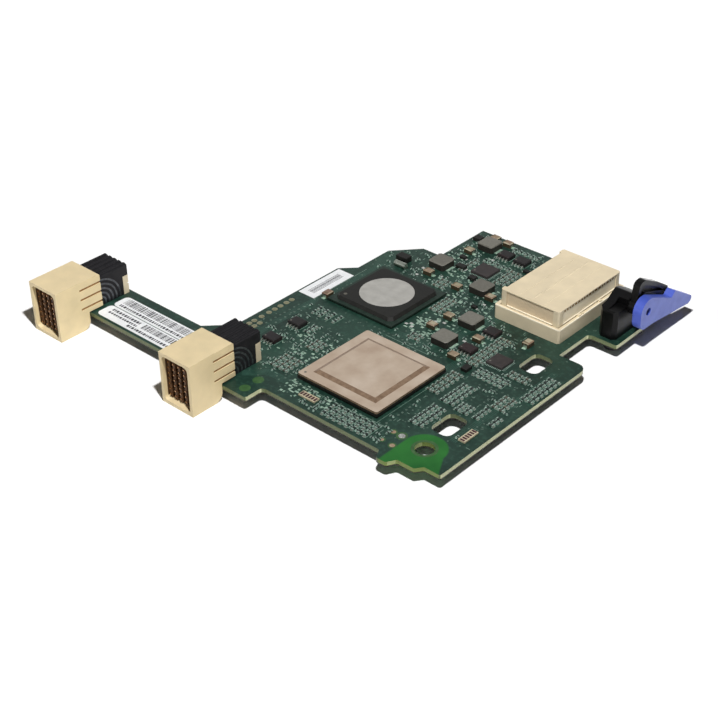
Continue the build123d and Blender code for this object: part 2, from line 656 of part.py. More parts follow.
def lever_pin():
    """The pin that is pressed into the bracket and carries the lever under its head."""
    start = BRACKET_RIGHT_X - BRACKET_W
    end = LEVER_INNER_X + LEVER_T - PIN_RECESS
    pin = crosswise(start, PIVOT_Y, PIVOT_Z, PIN_R, end - start)
    return pin + crosswise(end - PIN_HEAD_T, PIVOT_Y, PIVOT_Z, PIN_HEAD_R, PIN_HEAD_T)


def screw_grip(y):
    """How far a screw reaches into the bracket: less in the rear foot than under the hump."""
    return SCREW_GRIP if y < PIVOT_Y else BRACKET_FOOT_H - 0.6


def bracket_screw(y):
    """A socket screw from below, whose head is the card's rear foot."""
    head_z = -BOARD_T - SCREW_HEAD_H
    screw = upright((screw_x(), y), SCREW_HEAD_R, SCREW_HEAD_H, head_z)
    shank = upright((screw_x(), y), SCREW_R, BOARD_T + screw_grip(y), -BOARD_T)
    socket = Pos(screw_x(), y, head_z) * extrude(RegularPolygon(1.4, 6), 1.5)
    return screw + shank - socket


save("circuit_board", board())
for side, middle in HEADER_XS.items():
    save(side + "_header_housing", header_housing(middle))
    for wafer_number in range(WAFER_COUNT):
        save(f"{side}_header_wafer_{wafer_number + 1}", wafer(middle, wafer_number))
    save(side + "_header_spacer", header_spacer(middle))
    save(side + "_header_blades", *header_blades(middle))
    save(side + "_header_tails", *header_tails(middle))
save("mezzanine_base", mezzanine_base())
save("mezzanine_blades", *mezzanine_blades())
save("mezzanine_cap", mezzanine_cap())
chip_centre = [corner + LIDDED_SIZE / 2 for corner in LIDDED_CORNER]
lidded_substrate, chip_lid = lidded_chip()
save("lidded_chip_balls", *ball_ring(chip_centre, LIDDED_SIZE))
save("lidded_chip_substrate", lidded_substrate)
save("lidded_chip_lid", chip_lid)
disc_substrate, disc_mould, disc_slug = disc_chip()
save("disc_chip_balls", *ball_ring(DISC_CENTRE, DISC_SIZE))
save("disc_chip_substrate", disc_substrate)
save("disc_chip_mould", disc_mould)
save("disc_chip_slug", disc_slug)
save("power_inductors", *[inductor(centre) for centre in INDUCTORS])
save("small_outline_packages", *[small_outline_body(centre) for centre in SOICS])
save("small_outline_leads", *[lead for centre in SOICS for lead in small_outline_leads(centre)])
save("flat_packages", *[flat_pack(*pack) for pack in FLAT_PACKS])
tantalums = [tantalum(centre, False) for centre in TANTALUMS]
tantalums += [tantalum(centre, True) for centre in UPRIGHT_TANTALUMS]
save("tantalum_capacitors", *tantalums)
save("chip_capacitors", *chips(CAPACITOR_BLOCKS))
save("chip_resistors", *chips(RESISTOR_BLOCKS))
save("resistor_arrays", *resistor_arrays())
save("underside_capacitors", *chips(UNDERSIDE_BLOCKS, -BOARD_T - CHIP_H))
save("fuse_block", standing_block(FUSE_BLOCK_AT, FUSE_BLOCK_SIZE))
save("crystal_can", crosswise(CRYSTAL_AT[0], CRYSTAL_AT[1], CRYSTAL_R, CRYSTAL_R, CRYSTAL_L))
save("transistor", standing_block(TRANSISTOR_AT, TRANSISTOR_SIZE))
rear_label_y = ARM_LABEL_FRONT_Y + ARM_LABEL_W + ARM_LABEL_GAP
save("arm_label_front", arm_label(ARM_LABEL_FRONT_Y))
save("arm_label_rear", arm_label(rear_label_y))
save("side_label", block((*SIDE_LABEL_AT, 0), (*SIDE_LABEL_SIZE, LABEL_T)))
save("lever_bracket", bracket())
save("release_lever", lever())
save("lever_pin", lever_pin())
save("bracket_screws", *[bracket_screw(y) for y in SCREW_YS])

# The origin is the bottom centre of the whole card's box.
whole = Compound(children=[node.moved(Location()) for node in NODES.values()]).bounding_box()
origin = Location((-whole.center().X, -whole.center().Y, -whole.min.Z))
os.makedirs("parts", exist_ok=True)
for node_name, node in NODES.items():
    export_step(node.moved(origin), f"parts/{node_name}.step")
print("nodes", len(NODES), "box", whole.size, "card corner in the part's frame", origin.position)
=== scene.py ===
"""The looks of a blade server's expansion card: finishes, solder, print and light round its fixed frame."""
import bmesh
import bpy
import json
import math
import random
from mathutils import Matrix, Vector

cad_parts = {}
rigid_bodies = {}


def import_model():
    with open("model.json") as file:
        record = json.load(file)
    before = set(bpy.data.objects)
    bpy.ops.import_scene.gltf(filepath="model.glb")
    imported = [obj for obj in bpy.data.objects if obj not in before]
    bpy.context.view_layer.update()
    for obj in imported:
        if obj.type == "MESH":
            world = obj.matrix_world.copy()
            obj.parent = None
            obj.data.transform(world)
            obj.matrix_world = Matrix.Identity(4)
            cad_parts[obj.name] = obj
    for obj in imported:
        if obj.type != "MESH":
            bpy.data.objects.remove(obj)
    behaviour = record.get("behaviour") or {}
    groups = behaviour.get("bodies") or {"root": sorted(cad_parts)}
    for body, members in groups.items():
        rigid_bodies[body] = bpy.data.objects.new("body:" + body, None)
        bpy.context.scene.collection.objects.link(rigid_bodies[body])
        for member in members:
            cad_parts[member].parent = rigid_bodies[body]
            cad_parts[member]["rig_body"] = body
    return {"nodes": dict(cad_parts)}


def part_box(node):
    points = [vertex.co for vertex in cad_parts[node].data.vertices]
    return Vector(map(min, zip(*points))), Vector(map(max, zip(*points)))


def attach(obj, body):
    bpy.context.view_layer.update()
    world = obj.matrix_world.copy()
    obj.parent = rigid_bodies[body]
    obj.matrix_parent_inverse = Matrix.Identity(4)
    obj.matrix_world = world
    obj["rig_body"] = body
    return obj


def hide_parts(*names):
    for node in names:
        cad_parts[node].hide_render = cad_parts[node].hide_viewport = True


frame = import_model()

for leftover in [o for o in bpy.data.objects if "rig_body" not in o and not o.name.startswith("body:")]:
    bpy.data.objects.remove(leftover)
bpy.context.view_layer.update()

MM = 0.001
CARD = "card"
SIDES = ("left", "right")
WAFERS = range(1, 6)
CHIP_NODES = ("chip_capacitors", "chip_resistors")
BOARD_BACK = 118.4            # the board's back edge, counted from its long front edge, in mm
INK_LIFT = 0.012              # how far print, pads and traces stand off what they lie on, in mm
board_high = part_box("circuit_board")[1]
scatter = random.Random(11)


# Places on the board

def at(x, y, z=0.0):
    """A point given in mm from the board's front right corner on its top face."""
    return Vector((board_high.x + x * MM, board_high.y + (y - BOARD_BACK) * MM, board_high.z + z * MM))


def area(x0, y0, x1, y1):
    """A rectangle on the board, given in mm like a point."""
    low, high = at(x0, y0), at(x1, y1)
    return low.x, low.y, high.x, high.y


def ground(lift=1.0):
    """The height of print and pads on the board's top face."""
    return board_high.z + INK_LIFT * MM * lift


# Geometry helpers

def solids(node):
    """The lowest and highest corner of each separate solid in a CAD node."""
    mesh = frame["nodes"][node].data
    group = {}

    def root(key):
        while group[key] != key:
            group[key] = group[group[key]]
            key = group[key]
        return key

    keys = [tuple(round(c, 6) for c in v.co) for v in mesh.vertices]
    for key in keys:
        group.setdefault(key, key)
    for polygon in mesh.polygons:
        first = root(keys[polygon.vertices[0]])
        for index in polygon.vertices[1:]:
            group[root(keys[index])] = first
    boxes = {}
    for key in group:
        low, high = boxes.setdefault(root(key), (list(key), list(key)))
        for axis in range(3):
            low[axis] = min(low[axis], key[axis])
            high[axis] = max(high[axis], key[axis])
    return [(Vector(low), Vector(high)) for low, high in sorted(boxes.values())]


def long_axis(low, high):
    """The axis along which a part is long: 0 for X, 1 for Y."""
    size = high - low
    return 0 if size.x >= size.y else 1


def ends(low, high, axis):
    """Both ends of a part along an axis: which way each one faces, and where it is."""
    return (-1, low[axis]), (1, high[axis])


def slab(low, high, axis, start, end, wider=0.0):
    """A box's corners with new bounds along one axis, and wider on both sides of the other."""
    low, high = low.copy(), high.copy()
    low[axis], high[axis] = sorted((start, end))
    low[1 - axis] -= wider
    high[1 - axis] += wider
    return low, high


def footprint(low, high, more_x=0.0, more_y=0.0):
    """The rectangle that a box stands on, grown on all sides."""
    return low.x - more_x, low.y - more_y, high.x + more_x, high.y + more_y


def finish_piece(name, mesh_data, material, body=CARD):
    """Turn mesh data into a piece that rides on a body."""
    mesh = bpy.data.meshes.new(name)
    mesh_data.to_mesh(mesh)
    mesh_data.free()
    piece = bpy.data.objects.new(name, mesh)
    bpy.context.scene.collection.objects.link(piece)
    mesh.materials.append(finishes[material])
    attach(piece, body)
    return piece


def add_box(data, low, high, shape=None):
    """Add a box to mesh data, corner to corner, and let a function shape its corners."""
    made = bmesh.ops.create_cube(data, size=1.0)["verts"]
    centre = (Vector(low) + Vector(high)) / 2
    size = Vector(high) - Vector(low)
    for vert in made:
        vert.co = Vector((vert.co.x * size.x, vert.co.y * size.y, vert.co.z * size.z)) + centre
    if shape:
        shape(made, centre, size)


def rects(name, flats, material, z):
    """Flat rectangles (x0, y0, x1, y1) in metres, all on one height."""
    data = bmesh.new()
    for x0, y0, x1, y1 in flats:
        data.faces.new([data.verts.new(p) for p in ((x0, y0, z), (x1, y0, z), (x1, y1, z), (x0, y1, z))])
    finish_piece(name, data, material)


def add_ring(data, centre, inner, outer, height=0.0, sides=24):
    """Add a flat ring, or a disc if its inner radius is 0, slightly domed by its height. Sizes are in mm."""
    x, y, z = centre
    rim = []
    for step in range(sides):
        turn = 2 * math.pi * step / sides
        c, s = math.cos(turn) * MM, math.sin(turn) * MM
        outside = data.verts.new((x + outer * c, y + outer * s, z))
        inside = data.verts.new((x + inner * c, y + inner * s, z + height * MM)) if inner else None
        rim.append((outside, inside))
    if inner:
        for (a, b), (c, d) in zip(rim, rim[1:] + rim[:1]):
            data.faces.new((a, c, d, b))
    else:
        middle = data.verts.new((x, y, z + height * MM))
        for (a, _), (c, _) in zip(rim, rim[1:] + rim[:1]):
            data.faces.new((a, c, middle))


def shade_group(limit):
    """A modifier group that joins a CAD node's split corners and smooths its edges below an angle."""
    group = bpy.data.node_groups.new(f"welded_shading_{limit}", "GeometryNodeTree")
    for in_out in ("INPUT", "OUTPUT"):
        group.interface.new_socket("Geometry", in_out=in_out, socket_type="NodeSocketGeometry")
    add, link = group.nodes.new, group.links.new
    strip = add("GeometryNodeRemoveAttribute")
    strip.inputs["Name"].default_value = "custom_normal"
    weld = add("GeometryNodeMergeByDistance")
    weld.inputs["Distance"].default_value = 2e-6
    gentle = add("FunctionNodeCompare")
    gentle.operation = "LESS_THAN"
    gentle.inputs["B"].default_value = math.radians(limit)
    smooth_faces = add("GeometryNodeSetShadeSmooth")
    smooth_edges = add("GeometryNodeSetShadeSmooth")
    smooth_edges.domain = "EDGE"
    chain = (add("NodeGroupInput"), strip, weld, smooth_faces, smooth_edges, add("NodeGroupOutput"))
    for first, second in zip(chain, chain[1:]):
        link(first.outputs[0], second.inputs[0])
    link(add("GeometryNodeInputMeshEdgeAngle").outputs["Unsigned Angle"], gentle.inputs["A"])
    link(gentle.outputs[0], smooth_edges.inputs["Shade Smooth"])
    return group


SHARP_ANGLE = 32                         # edges sharper than this, in degrees, are rounded and not smoothed
PRESSED_ANGLE = 6                        # the same for the lid, whose slopes are gentle
welded = shade_group(SHARP_ANGLE)
pressed = shade_group(PRESSED_ANGLE)


def soften(piece, radius, shading_group=welded):
    """Weld a node's corners and round its sharp edges by a small radius in mm."""
    shading = piece.modifiers.new("welded", "NODES")
    shading.node_group = shading_group
    bevel = piece.modifiers.new("soft_edges", "BEVEL")
    bevel.width = radius * MM
    bevel.segments = 2
    bevel.limit_method = "ANGLE"
    bevel.angle_limit = math.radians(SHARP_ANGLE)
    bevel.harden_normals = True
    bevel.use_clamp_overlap = True


# Materials

def srgb(red, green, blue):
    """A colour written as 0 to 255 screen values, as Blender's linear values."""
    channels = [((c / 255 + 0.055) / 1.055) ** 2.4 if c > 10 else c / 255 / 12.92 for c in (red, green, blue)]
    return (*channels, 1.0)


class Nodes:
    """A shader node tree, with building blocks that take sockets or plain values."""

    def __init__(self, owner):
        owner.use_nodes = True
        self.nodes = owner.node_tree.nodes
        self.links = owner.node_tree.links

    def feed(self, source, socket):
        """Link a socket to its source, or set it to a plain value."""
        if isinstance(source, bpy.types.NodeSocket):
            self.links.new(source, socket)
        else:
            socket.default_value = source

    def node(self, kind, sources=(), **settings):
        """A node with its settings. Its sources are in its inputs' order, or named in a dictionary."""
        made = self.nodes.new("ShaderNode" + kind)
        for name, value in settings.items():
            setattr(made, name, value)
        for key, source in sources.items() if isinstance(sources, dict) else enumerate(sources):
            self.feed(source, made.inputs[key])
        return made

    def math(self, operation, *values):
        return self.node("Math", values, operation=operation).outputs[0]

    def part(self, vector, axis):
        """A vector's X, Y or Z."""
        return self.node("SeparateXYZ", (vector,)).outputs[axis]

    def mix(self, share, a, b, blend="MIX"):
        """Mix two colours."""
        return self.node("Mix", {"Factor": share, 6: a, 7: b}, data_type="RGBA", blend_type=blend).outputs[2]

    def span(self, source, start, end, at_start, at_end, interpolation="LINEAR"):
        """A value that goes from one level to another while its source goes from start to end."""
        return self.node("MapRange", (source, start, end, at_start, at_end),
                         interpolation_type=interpolation).outputs[0]


class Finish(Nodes):
    """A material with its own object coordinates."""

    def __init__(self, name, roughness, metallic=0.0, gloss=0.5):
        self.material = bpy.data.materials.new(name)
        super().__init__(self.material)
        self.shader = self.nodes["Principled BSDF"].inputs
        for socket, value in (("Roughness", roughness), ("Metallic", metallic),
                              ("Specular IOR Level", gloss)):
            self.shader[socket].default_value = value
        self.place = self.node("TexCoord").outputs["Object"]

    def noise(self, size, detail=3.0, stretch=(1, 1, 1)):
        """Soft noise whose blotches are about size mm across."""
        mapping = self.node("Mapping", {"Vector": self.place, "Scale": stretch})
        return self.node("TexNoise", {"Vector": mapping.outputs[0], "Scale": 1.0 / (size * MM),
                                      "Detail": detail}).outputs["Fac"]

    def each(self):
        """A value that differs from one loose part of the mesh to the next."""
        return self.node("NewGeometry").outputs["Random Per Island"]

    def facing(self, axis):
        """How far the surface faces along X, Y or Z, from -1 to 1."""
        return self.part(self.node("NewGeometry").outputs["Normal"], axis)

    def steep(self, limit):
        """1 where the surface stands steeper than a limit, 0 on level faces."""
        return self.math("LESS_THAN", self.math("ABSOLUTE", self.facing("Z")), limit)

    def ramp(self, source, *stops):
        """A colour ramp of (position, colour) stops, with colours written as 0 to 255."""
        ramp = self.node("ValToRGB", (source,))
        elements = ramp.color_ramp.elements
        while len(elements) < len(stops):
            elements.new(0.5)
        for element, (position, color) in zip(elements, stops):
            element.position = position
            element.color = srgb(*color)
        return ramp.outputs["Color"]

    def color(self, source):
        self.feed(source, self.shader["Base Color"])

    def rough(self, source, low, high):
        """Let a noise source vary the roughness between two values."""
        self.feed(self.span(source, 0.0, 1.0, low, high), self.shader["Roughness"])

    def bump(self, source, depth):
        """Bump from a height source, depth in mm."""
        bump = self.node("Bump", {"Distance": depth * MM, "Strength": 1.0, "Height": source})
        self.feed(bump.outputs[0], self.shader["Normal"])


def plastic(name, dark, light, size=4.0, roughness=(0.38, 0.5), grain=0.02, gloss=0.5):
    """Moulded plastic: two near tones in soft blotches, with a fine moulded grain."""
    finish = Finish(name, roughness[0], gloss=gloss)
    blotch = finish.noise(size)
    finish.color(finish.ramp(blotch, (0.32, dark), (0.68, light)))
    finish.rough(blotch, *roughness)
    finish.bump(finish.noise(0.25, 2.0), grain)
    return finish.material


IVORY_SHADE = 0.94                       # how dark the darker blotches of ivory plastic are


def ivory(name, top, side):
    """Moulded ivory plastic in soft blotches, with painted light: its level faces are painted a little
    lighter than its upright ones, as if lit from above.
    """
    finish = Finish(name, 0.5)
    blotch = finish.noise(6.0, 4.0)
    level, upright = [finish.ramp(blotch, (0.3, [round(c * IVORY_SHADE) for c in tone]), (0.7, tone))
                      for tone in (top, side)]
    # painted light: level faces take the lighter top tone, upright faces the darker side tone
    finish.color(finish.mix(finish.steep(0.6), level, upright))
    finish.rough(blotch, 0.44, 0.58)
    finish.bump(finish.noise(0.25, 2.0), 0.02)
    return finish.material


def small_parts(name, tones, painted_side_shade=None):
    """Small parts that differ in tone from one to the next, with sides painted darker as shade where asked.
    """
    finish = Finish(name, 0.4, gloss=0.3)
    tone = finish.ramp(finish.each(), *[((number + 0.5) / len(tones), t) for number, t in enumerate(tones)])
    mottle = finish.span(finish.noise(0.7, 4.0), 0.3, 0.7, 0.82, 1.0)
    tone = finish.mix(1.0, tone, mottle, "MULTIPLY")
    # painted shade: steep faces take the darker side tone
    if painted_side_shade:
        tone = finish.mix(finish.steep(0.6), tone, srgb(*painted_side_shade))
    finish.color(tone)
    finish.rough(finish.noise(1.0), 0.4, 0.6)
    finish.bump(finish.noise(0.3, 2.0), 0.02)
    return finish.material


def metal(name, dark, light, size=2.0, roughness=(0.25, 0.4), grain=0.01, share=1.0):
    """Plated or bare metal with slight tarnish and a fine grain."""
    finish = Finish(name, roughness[0], share)
    blotch = finish.noise(size, 4.0)
    finish.color(finish.ramp(blotch, (0.3, dark), (0.7, light)))
    finish.rough(blotch, *roughness)
    finish.bump(finish.noise(0.3, 2.0), grain)
    return finish.material


def tinned(name, dark, light):
    """Tinned copper, bright enough to read as a small pale fleck from afar."""
    return metal(name, dark, light, 0.9, (0.24, 0.4), share=0.4)


CORNER_HOLE = (-10.75, 8.6)
CLEAR_ZONE_R = 6.3                       # the bright green zone's radius round the corner hole, in mm
CLEAR_ZONE_LEAN = 0.55                   # how much wider to the right it gets per mm in front of the hole
PALE_EDGE = 1.3                          # how much of the board's cut edge keeps the laminate tone, from its top; below that the edge is painted dark as shade


def board_finish():
    """Green solder mask over copper, a brighter unplated corner, and laminate at the cut edges with painted
    light and shade: paler on edges that face right, as if lit, and dark below a top strip, as shade.
    """
    finish = Finish("solder_mask", 0.34, gloss=0.3)
    math_node = finish.math
    x, y, z = (finish.part(finish.place, axis) for axis in "XYZ")
    blotch = finish.noise(11.0, 5.0)
    mask = finish.ramp(blotch, (0.3, (18, 40, 33)), (0.5, (27, 52, 43)), (0.7, (36, 64, 53)))
    mask = finish.mix(finish.span(finish.noise(1.1, 3.0), 0.5, 0.75, 0.0, 0.45), mask, srgb(58, 92, 78))
    corner = at(*CORNER_HOLE)
    in_front = math_node("MAXIMUM", math_node("SUBTRACT", corner.y, y), 0.0)
    lean = math_node("MULTIPLY", in_front, CLEAR_ZONE_LEAN)
    to_right = math_node("SUBTRACT", math_node("SUBTRACT", x, corner.x), lean)
    across = math_node("MAXIMUM", math_node("MAXIMUM", to_right, math_node("SUBTRACT", corner.x, x)), 0.0)
    along = math_node("MAXIMUM", math_node("SUBTRACT", y, corner.y), 0.0)
    squares = math_node("ADD", math_node("POWER", across, 2.0), math_node("POWER", along, 2.0))
    reach = math_node("POWER", squares, 0.5)
    clear = finish.span(reach, CLEAR_ZONE_R * MM, (CLEAR_ZONE_R + 0.5) * MM, 1.0, 0.0)
    mask = finish.mix(clear, mask, finish.ramp(blotch, (0.35, (20, 84, 30)), (0.65, (38, 108, 42))))
    weave = finish.noise(0.5, 2.0, (1, 1, 6))
    laminate = finish.ramp(weave, (0.35, (82, 92, 60)), (0.65, (114, 124, 88)))
    pale = finish.ramp(weave, (0.35, (168, 172, 132)), (0.65, (204, 208, 170)))
    # painted light: edges that face +X take the paler laminate
    laminate = finish.mix(math_node("GREATER_THAN", finish.facing("X"), 0.8), laminate, pale)
    laminate = finish.mix(math_node("MULTIPLY", clear, 0.55), laminate, srgb(126, 146, 60))
    # painted shade: the cut edge is dark below its top strip
    painted_shade_rim = math_node("LESS_THAN", z, board_high.z - PALE_EDGE * MM)
    laminate = finish.mix(painted_shade_rim, laminate, srgb(42, 38, 28))
    finish.color(finish.mix(finish.steep(0.5), mask, laminate))
    finish.rough(blotch, 0.3, 0.42)
    finish.bump(finish.noise(0.6, 2.0), 0.01)
    return finish.material


def lid_finish():
    """Nickel-plated copper lid: warm grey, stained in soft patches, with painted shade on its pressed slopes.
    """
    finish = Finish("nickel_plate", 0.4, 0.35)
    stain = finish.noise(8.0, 5.0)
    tone = finish.ramp(stain, (0.3, (181, 159, 139)), (0.5, (196, 177, 157)), (0.7, (208, 191, 173)))
    slope = finish.ramp(finish.noise(1.5, 3.0), (0.3, (122, 99, 79)), (0.7, (148, 124, 102)))
    # painted shade: the pressed slopes take darker tones, in place of their dark reflection
    finish.color(finish.mix(finish.steep(0.97), tone, slope))
    finish.rough(finish.noise(3.0, 4.0), 0.34, 0.5)
    finish.bump(finish.noise(0.5, 3.0), 0.012)
    return finish.material


def lever_finish():
    """Glossy blue plastic, with painted light: its broad outer face is painted paler than its rim, as if lit.
    """
    finish = Finish("lever_plastic", 0.34)
    rim = finish.ramp(finish.noise(4.0), (0.3, (62, 82, 176)), (0.7, (74, 94, 188)))
    face = finish.ramp(finish.noise(3.0, 5.0), (0.3, (74, 92, 181)), (0.7, (89, 108, 194)))
    # painted light: faces that look along +X take the paler tone
    finish.color(finish.mix(finish.math("GREATER_THAN", finish.facing("X"), 0.8), rim, face))
    finish.rough(finish.noise(2.0, 4.0), 0.28, 0.42)
    finish.bump(finish.noise(0.3, 2.0), 0.012)
    return finish.material


def paper(name):
    """White label stock with a faint fibre."""
    finish = Finish(name, 0.55)
    finish.color(finish.ramp(finish.noise(1.2), (0.3, (226, 228, 230)), (0.7, (240, 241, 242))))
    finish.bump(finish.noise(0.2, 2.0), 0.006)
    return finish.material


finishes = {
    "board": board_finish(),
    "ivory": ivory("ivory_plastic", (228, 208, 166), (222, 203, 160)),
    "pale_ivory": ivory("pale_ivory_plastic", (228, 212, 180), (212, 199, 170)),
    # painted shade: a darker ivory for the front recess panel, in place of the recess's shade
    "painted_shade_ivory": ivory("shaded_ivory", (216, 200, 168), (206, 188, 158)),
    # painted light: a lighter ivory for the right recess panel, as if lit from the right
    "lit_ivory": ivory("lit_ivory", (236, 226, 200), (236, 226, 200)),
    # painted shade: a dark tone for the grooves' bottoms and the slot marks
    "painted_groove_shade": plastic("louvre_shade", (136, 100, 60), (158, 120, 76), 1.5, (0.5, 0.65), 0.01, 0.3),
    "black": plastic("black_plastic", (6, 6, 6), (10, 10, 11), 3.0, (0.24, 0.36), 0.015, 0.18),
    "wafer": plastic("wafer_plastic", (20, 19, 22), (28, 27, 30), 3.0, (0.4, 0.55), 0.015, 0.25),
    "moulding": plastic("package_moulding", (14, 14, 12), (23, 23, 20), 2.0, (0.45, 0.6), 0.015, 0.3),
    "red_moulding": plastic("brown_moulding", (52, 24, 30), (68, 32, 38), 2.0, (0.4, 0.55), 0.015),
    "small_moulding": small_parts("small_package_moulding", ((30, 27, 28), (33, 31, 31), (30, 28, 28),
                                                             (50, 28, 31), (34, 31, 32))),
    "band": plastic("polarity_band", (92, 80, 62), (112, 98, 78), 1.0, (0.45, 0.6), 0.01, 0.3),
    # painted highlight: a near-white ivory for the tray's edges
    "lip": ivory("lit_lip", (252, 243, 220), (250, 241, 218)),
    "square_moulding": plastic("square_package_moulding", (34, 29, 29), (48, 42, 41), 1.5, (0.5, 0.65),
                               0.015),
    # painted shade: the last tones below darken the sides of the inductors and moulded capacitors
    "ferrite": small_parts("ferrite", ((98, 96, 88), (117, 115, 107)), (36, 34, 30)),
    "tantalum": small_parts("tantalum_moulding", ((152, 144, 120), (136, 112, 94), (174, 167, 142),
                                                  (130, 106, 92)), (58, 50, 34)),
    "capacitor": small_parts("capacitor_ceramic", ((68, 74, 67), (102, 99, 86), (86, 87, 80))),
    "resistor": small_parts("resistor_glaze", ((34, 44, 40), (66, 80, 74), (50, 56, 54))),
    "cream": plastic("cream_ceramic", (176, 164, 136), (198, 188, 160), 0.8, (0.45, 0.6), 0.015),
    "blue": lever_finish(),
    # painted shade: partly the wafer tongues' own dark plastic, partly the shade deep in a header's mouth
    "mouth_shade": plastic("header_shade", (70, 46, 26), (96, 66, 38), 1.2, (0.5, 0.7), 0.03, 0.3),
    "lid": lid_finish(),
    "disc": metal("spun_aluminium", (178, 176, 170), (194, 192, 186), 2.5, (0.46, 0.58), share=0.5),
    "tin": metal("tin_plate", (150, 158, 148), (196, 202, 190), 0.8, (0.3, 0.45)),
    "solder": metal("solder", (128, 136, 126), (182, 188, 176), 0.5, (0.25, 0.4), 0.02),
    "via": tinned("via_rim", (62, 88, 76), (128, 150, 138)),
    "paste": tinned("reflowed_pad", (126, 152, 140), (188, 210, 198)),
    # painted light: a near-white tin, so that the small hole's plating reads bright
    "painted_white_liner_tin": tinned("painted_white_liner_tin", (238, 239, 236), (252, 252, 250)),
    "teal_pad": tinned("large_pad", (132, 170, 148), (192, 218, 198)),
    "bright_tin": tinned("bright_tin", (176, 180, 174), (222, 224, 218)),
    "copper_ring": tinned("bare_copper_pad", (150, 124, 98), (196, 172, 148)),
    "pad": metal("pad_tin", (150, 148, 118), (182, 180, 148), 0.6, (0.35, 0.5), 0.02),
    "gold": metal("gold_contact", (190, 146, 78), (224, 184, 112), 0.8, (0.22, 0.36)),
    "contact": metal("contact_glint", (166, 122, 86), (202, 158, 118), 0.5, (0.2, 0.3)),
    "steel": metal("dark_steel", (70, 70, 74), (104, 104, 108), 1.0, (0.28, 0.42)),
    "lead_frame": metal("lead_frame", (88, 90, 94), (126, 128, 132), 1.0, (0.35, 0.5)),
    "substrate": plastic("package_substrate", (24, 38, 32), (34, 50, 42), 2.0, (0.4, 0.55), 0.01, 0.3),
    "paper": paper("label_paper"),
    "ink": plastic("label_ink", (38, 38, 42), (70, 70, 76), 1.0, (0.5, 0.6), 0.002),
    "silk": plastic("board_print", (92, 122, 108), (136, 162, 148), 1.6, (0.5, 0.6), 0.004),
    "trace": plastic("masked_copper", (40, 72, 60), (54, 88, 76), 3.0, (0.28, 0.4), 0.004, 0.3),
    "fiducial": plastic("pale_mask", (50, 82, 46), (64, 98, 58), 1.5, (0.35, 0.45), 0.004, 0.3),
}

node_finishes = {
    "circuit_board": "board", "mezzanine_base": "pale_ivory", "mezzanine_cap": "pale_ivory",
    "mezzanine_blades": "gold", "lidded_chip_substrate": "moulding", "lidded_chip_lid": "lid",
    "disc_chip_substrate": "substrate", "disc_chip_mould": "moulding", "disc_chip_slug": "disc",
    "lidded_chip_balls": "solder", "disc_chip_balls": "solder", "power_inductors": "ferrite",
    "small_outline_packages": "small_moulding", "small_outline_leads": "tin",
    "flat_packages": "square_moulding",
    "tantalum_capacitors": "tantalum", "chip_capacitors": "capacitor", "chip_resistors": "resistor",
    "resistor_arrays": "cream", "underside_capacitors": "capacitor", "fuse_block": "moulding",
    "crystal_can": "tin", "transistor": "moulding", "arm_label_front": "paper",
    "arm_label_rear": "paper", "side_label": "paper", "lever_bracket": "black",
    "release_lever": "blue", "lever_pin": "steel", "bracket_screws": "steel",
}
edge_radii = {                           # how much each node's sharp edges are rounded, in mm
    "left_header_housing": 0.3, "right_header_housing": 0.3, "mezzanine_base": 0.2, "mezzanine_cap": 0.18,
    "lidded_chip_lid": 0.12, "disc_chip_mould": 0.15, "power_inductors": 0.12, "small_outline_packages": 0.08,
    "flat_packages": 0.06, "tantalum_capacitors": 0.12, "lever_bracket": 0.3, "release_lever": 0.3,
    "fuse_block": 0.15, "transistor": 0.08, "chip_capacitors": 0.06, "resistor_arrays": 0.05,
    "chip_resistors": 0.04, "circuit_board": 0.05,
}
for side in SIDES:
    for part, finish in (("housing", "ivory"), ("spacer", "pale_ivory"), ("blades", "gold"),
                         ("tails", "tin")):
        node_finishes[f"{side}_header_{part}"] = finish
    for number in WAFERS:
        node_finishes[f"{side}_header_wafer_{number}"] = "wafer"
        edge_radii[f"{side}_header_wafer_{number}"] = 0.12
for node, piece in frame["nodes"].items():
    piece.data.materials.clear()
    piece.data.materials.append(finishes[node_finishes[node]])
for node, radius in edge_radii.items():
    soften(frame["nodes"][node], radius, pressed if node == "lidded_chip_lid" else welded)


# Board print, pads and solder

CAP_LENGTH = 0.32                        # a chip's end caps: how far they reach over it, in mm
CAP_SKIN = 0.02                          # and how far they stand off it
PAD_REACH = 0.42                         # a chip's pads: how far they reach beyond its ends
PAD_MARGIN = 0.08                        # and beyond its sides


def chip_solder(node):
    """End caps, pads and solder round every chip of a node."""
    caps, fillets, pads = bmesh.new(), bmesh.new(), []
    for low, high in solids(node):
        axis = long_axis(low, high)
        for way, tip in ends(low, high, axis):
            inner, reach = tip - way * CAP_LENGTH * MM, way * PAD_REACH * MM
            cap_low, cap_high = slab(low, high, axis, inner, tip + way * CAP_SKIN * MM, CAP_SKIN * MM)
            cap_high.z += CAP_SKIN * MM
            add_box(caps, cap_low, cap_high)
            pads.append(footprint(*slab(low, high, axis, inner, tip + reach, PAD_MARGIN * MM)))
            toe_low, toe_high = slab(low, high, axis, tip, tip + reach * 0.8)
            toe_high.z = low.z + (high.z - low.z) * 0.7

            def slope(verts, centre, size, axis=axis, way=way):
                """Slope the solder down from the chip's end."""
                for vert in verts:
                    if vert.co.z > centre.z and (vert.co[axis] - centre[axis]) * way > 0:
                        vert.co.z = centre.z - size.z * 0.42
            add_box(fillets, toe_low, toe_high, slope)
    finish_piece(node + "_end_caps", caps, "paste")
    finish_piece(node + "_solder", fillets, "solder")
    rects(node + "_pads", pads, "paste", ground())


ROOM = 0.7                               # what is scattered keeps this far from the parts, in mm


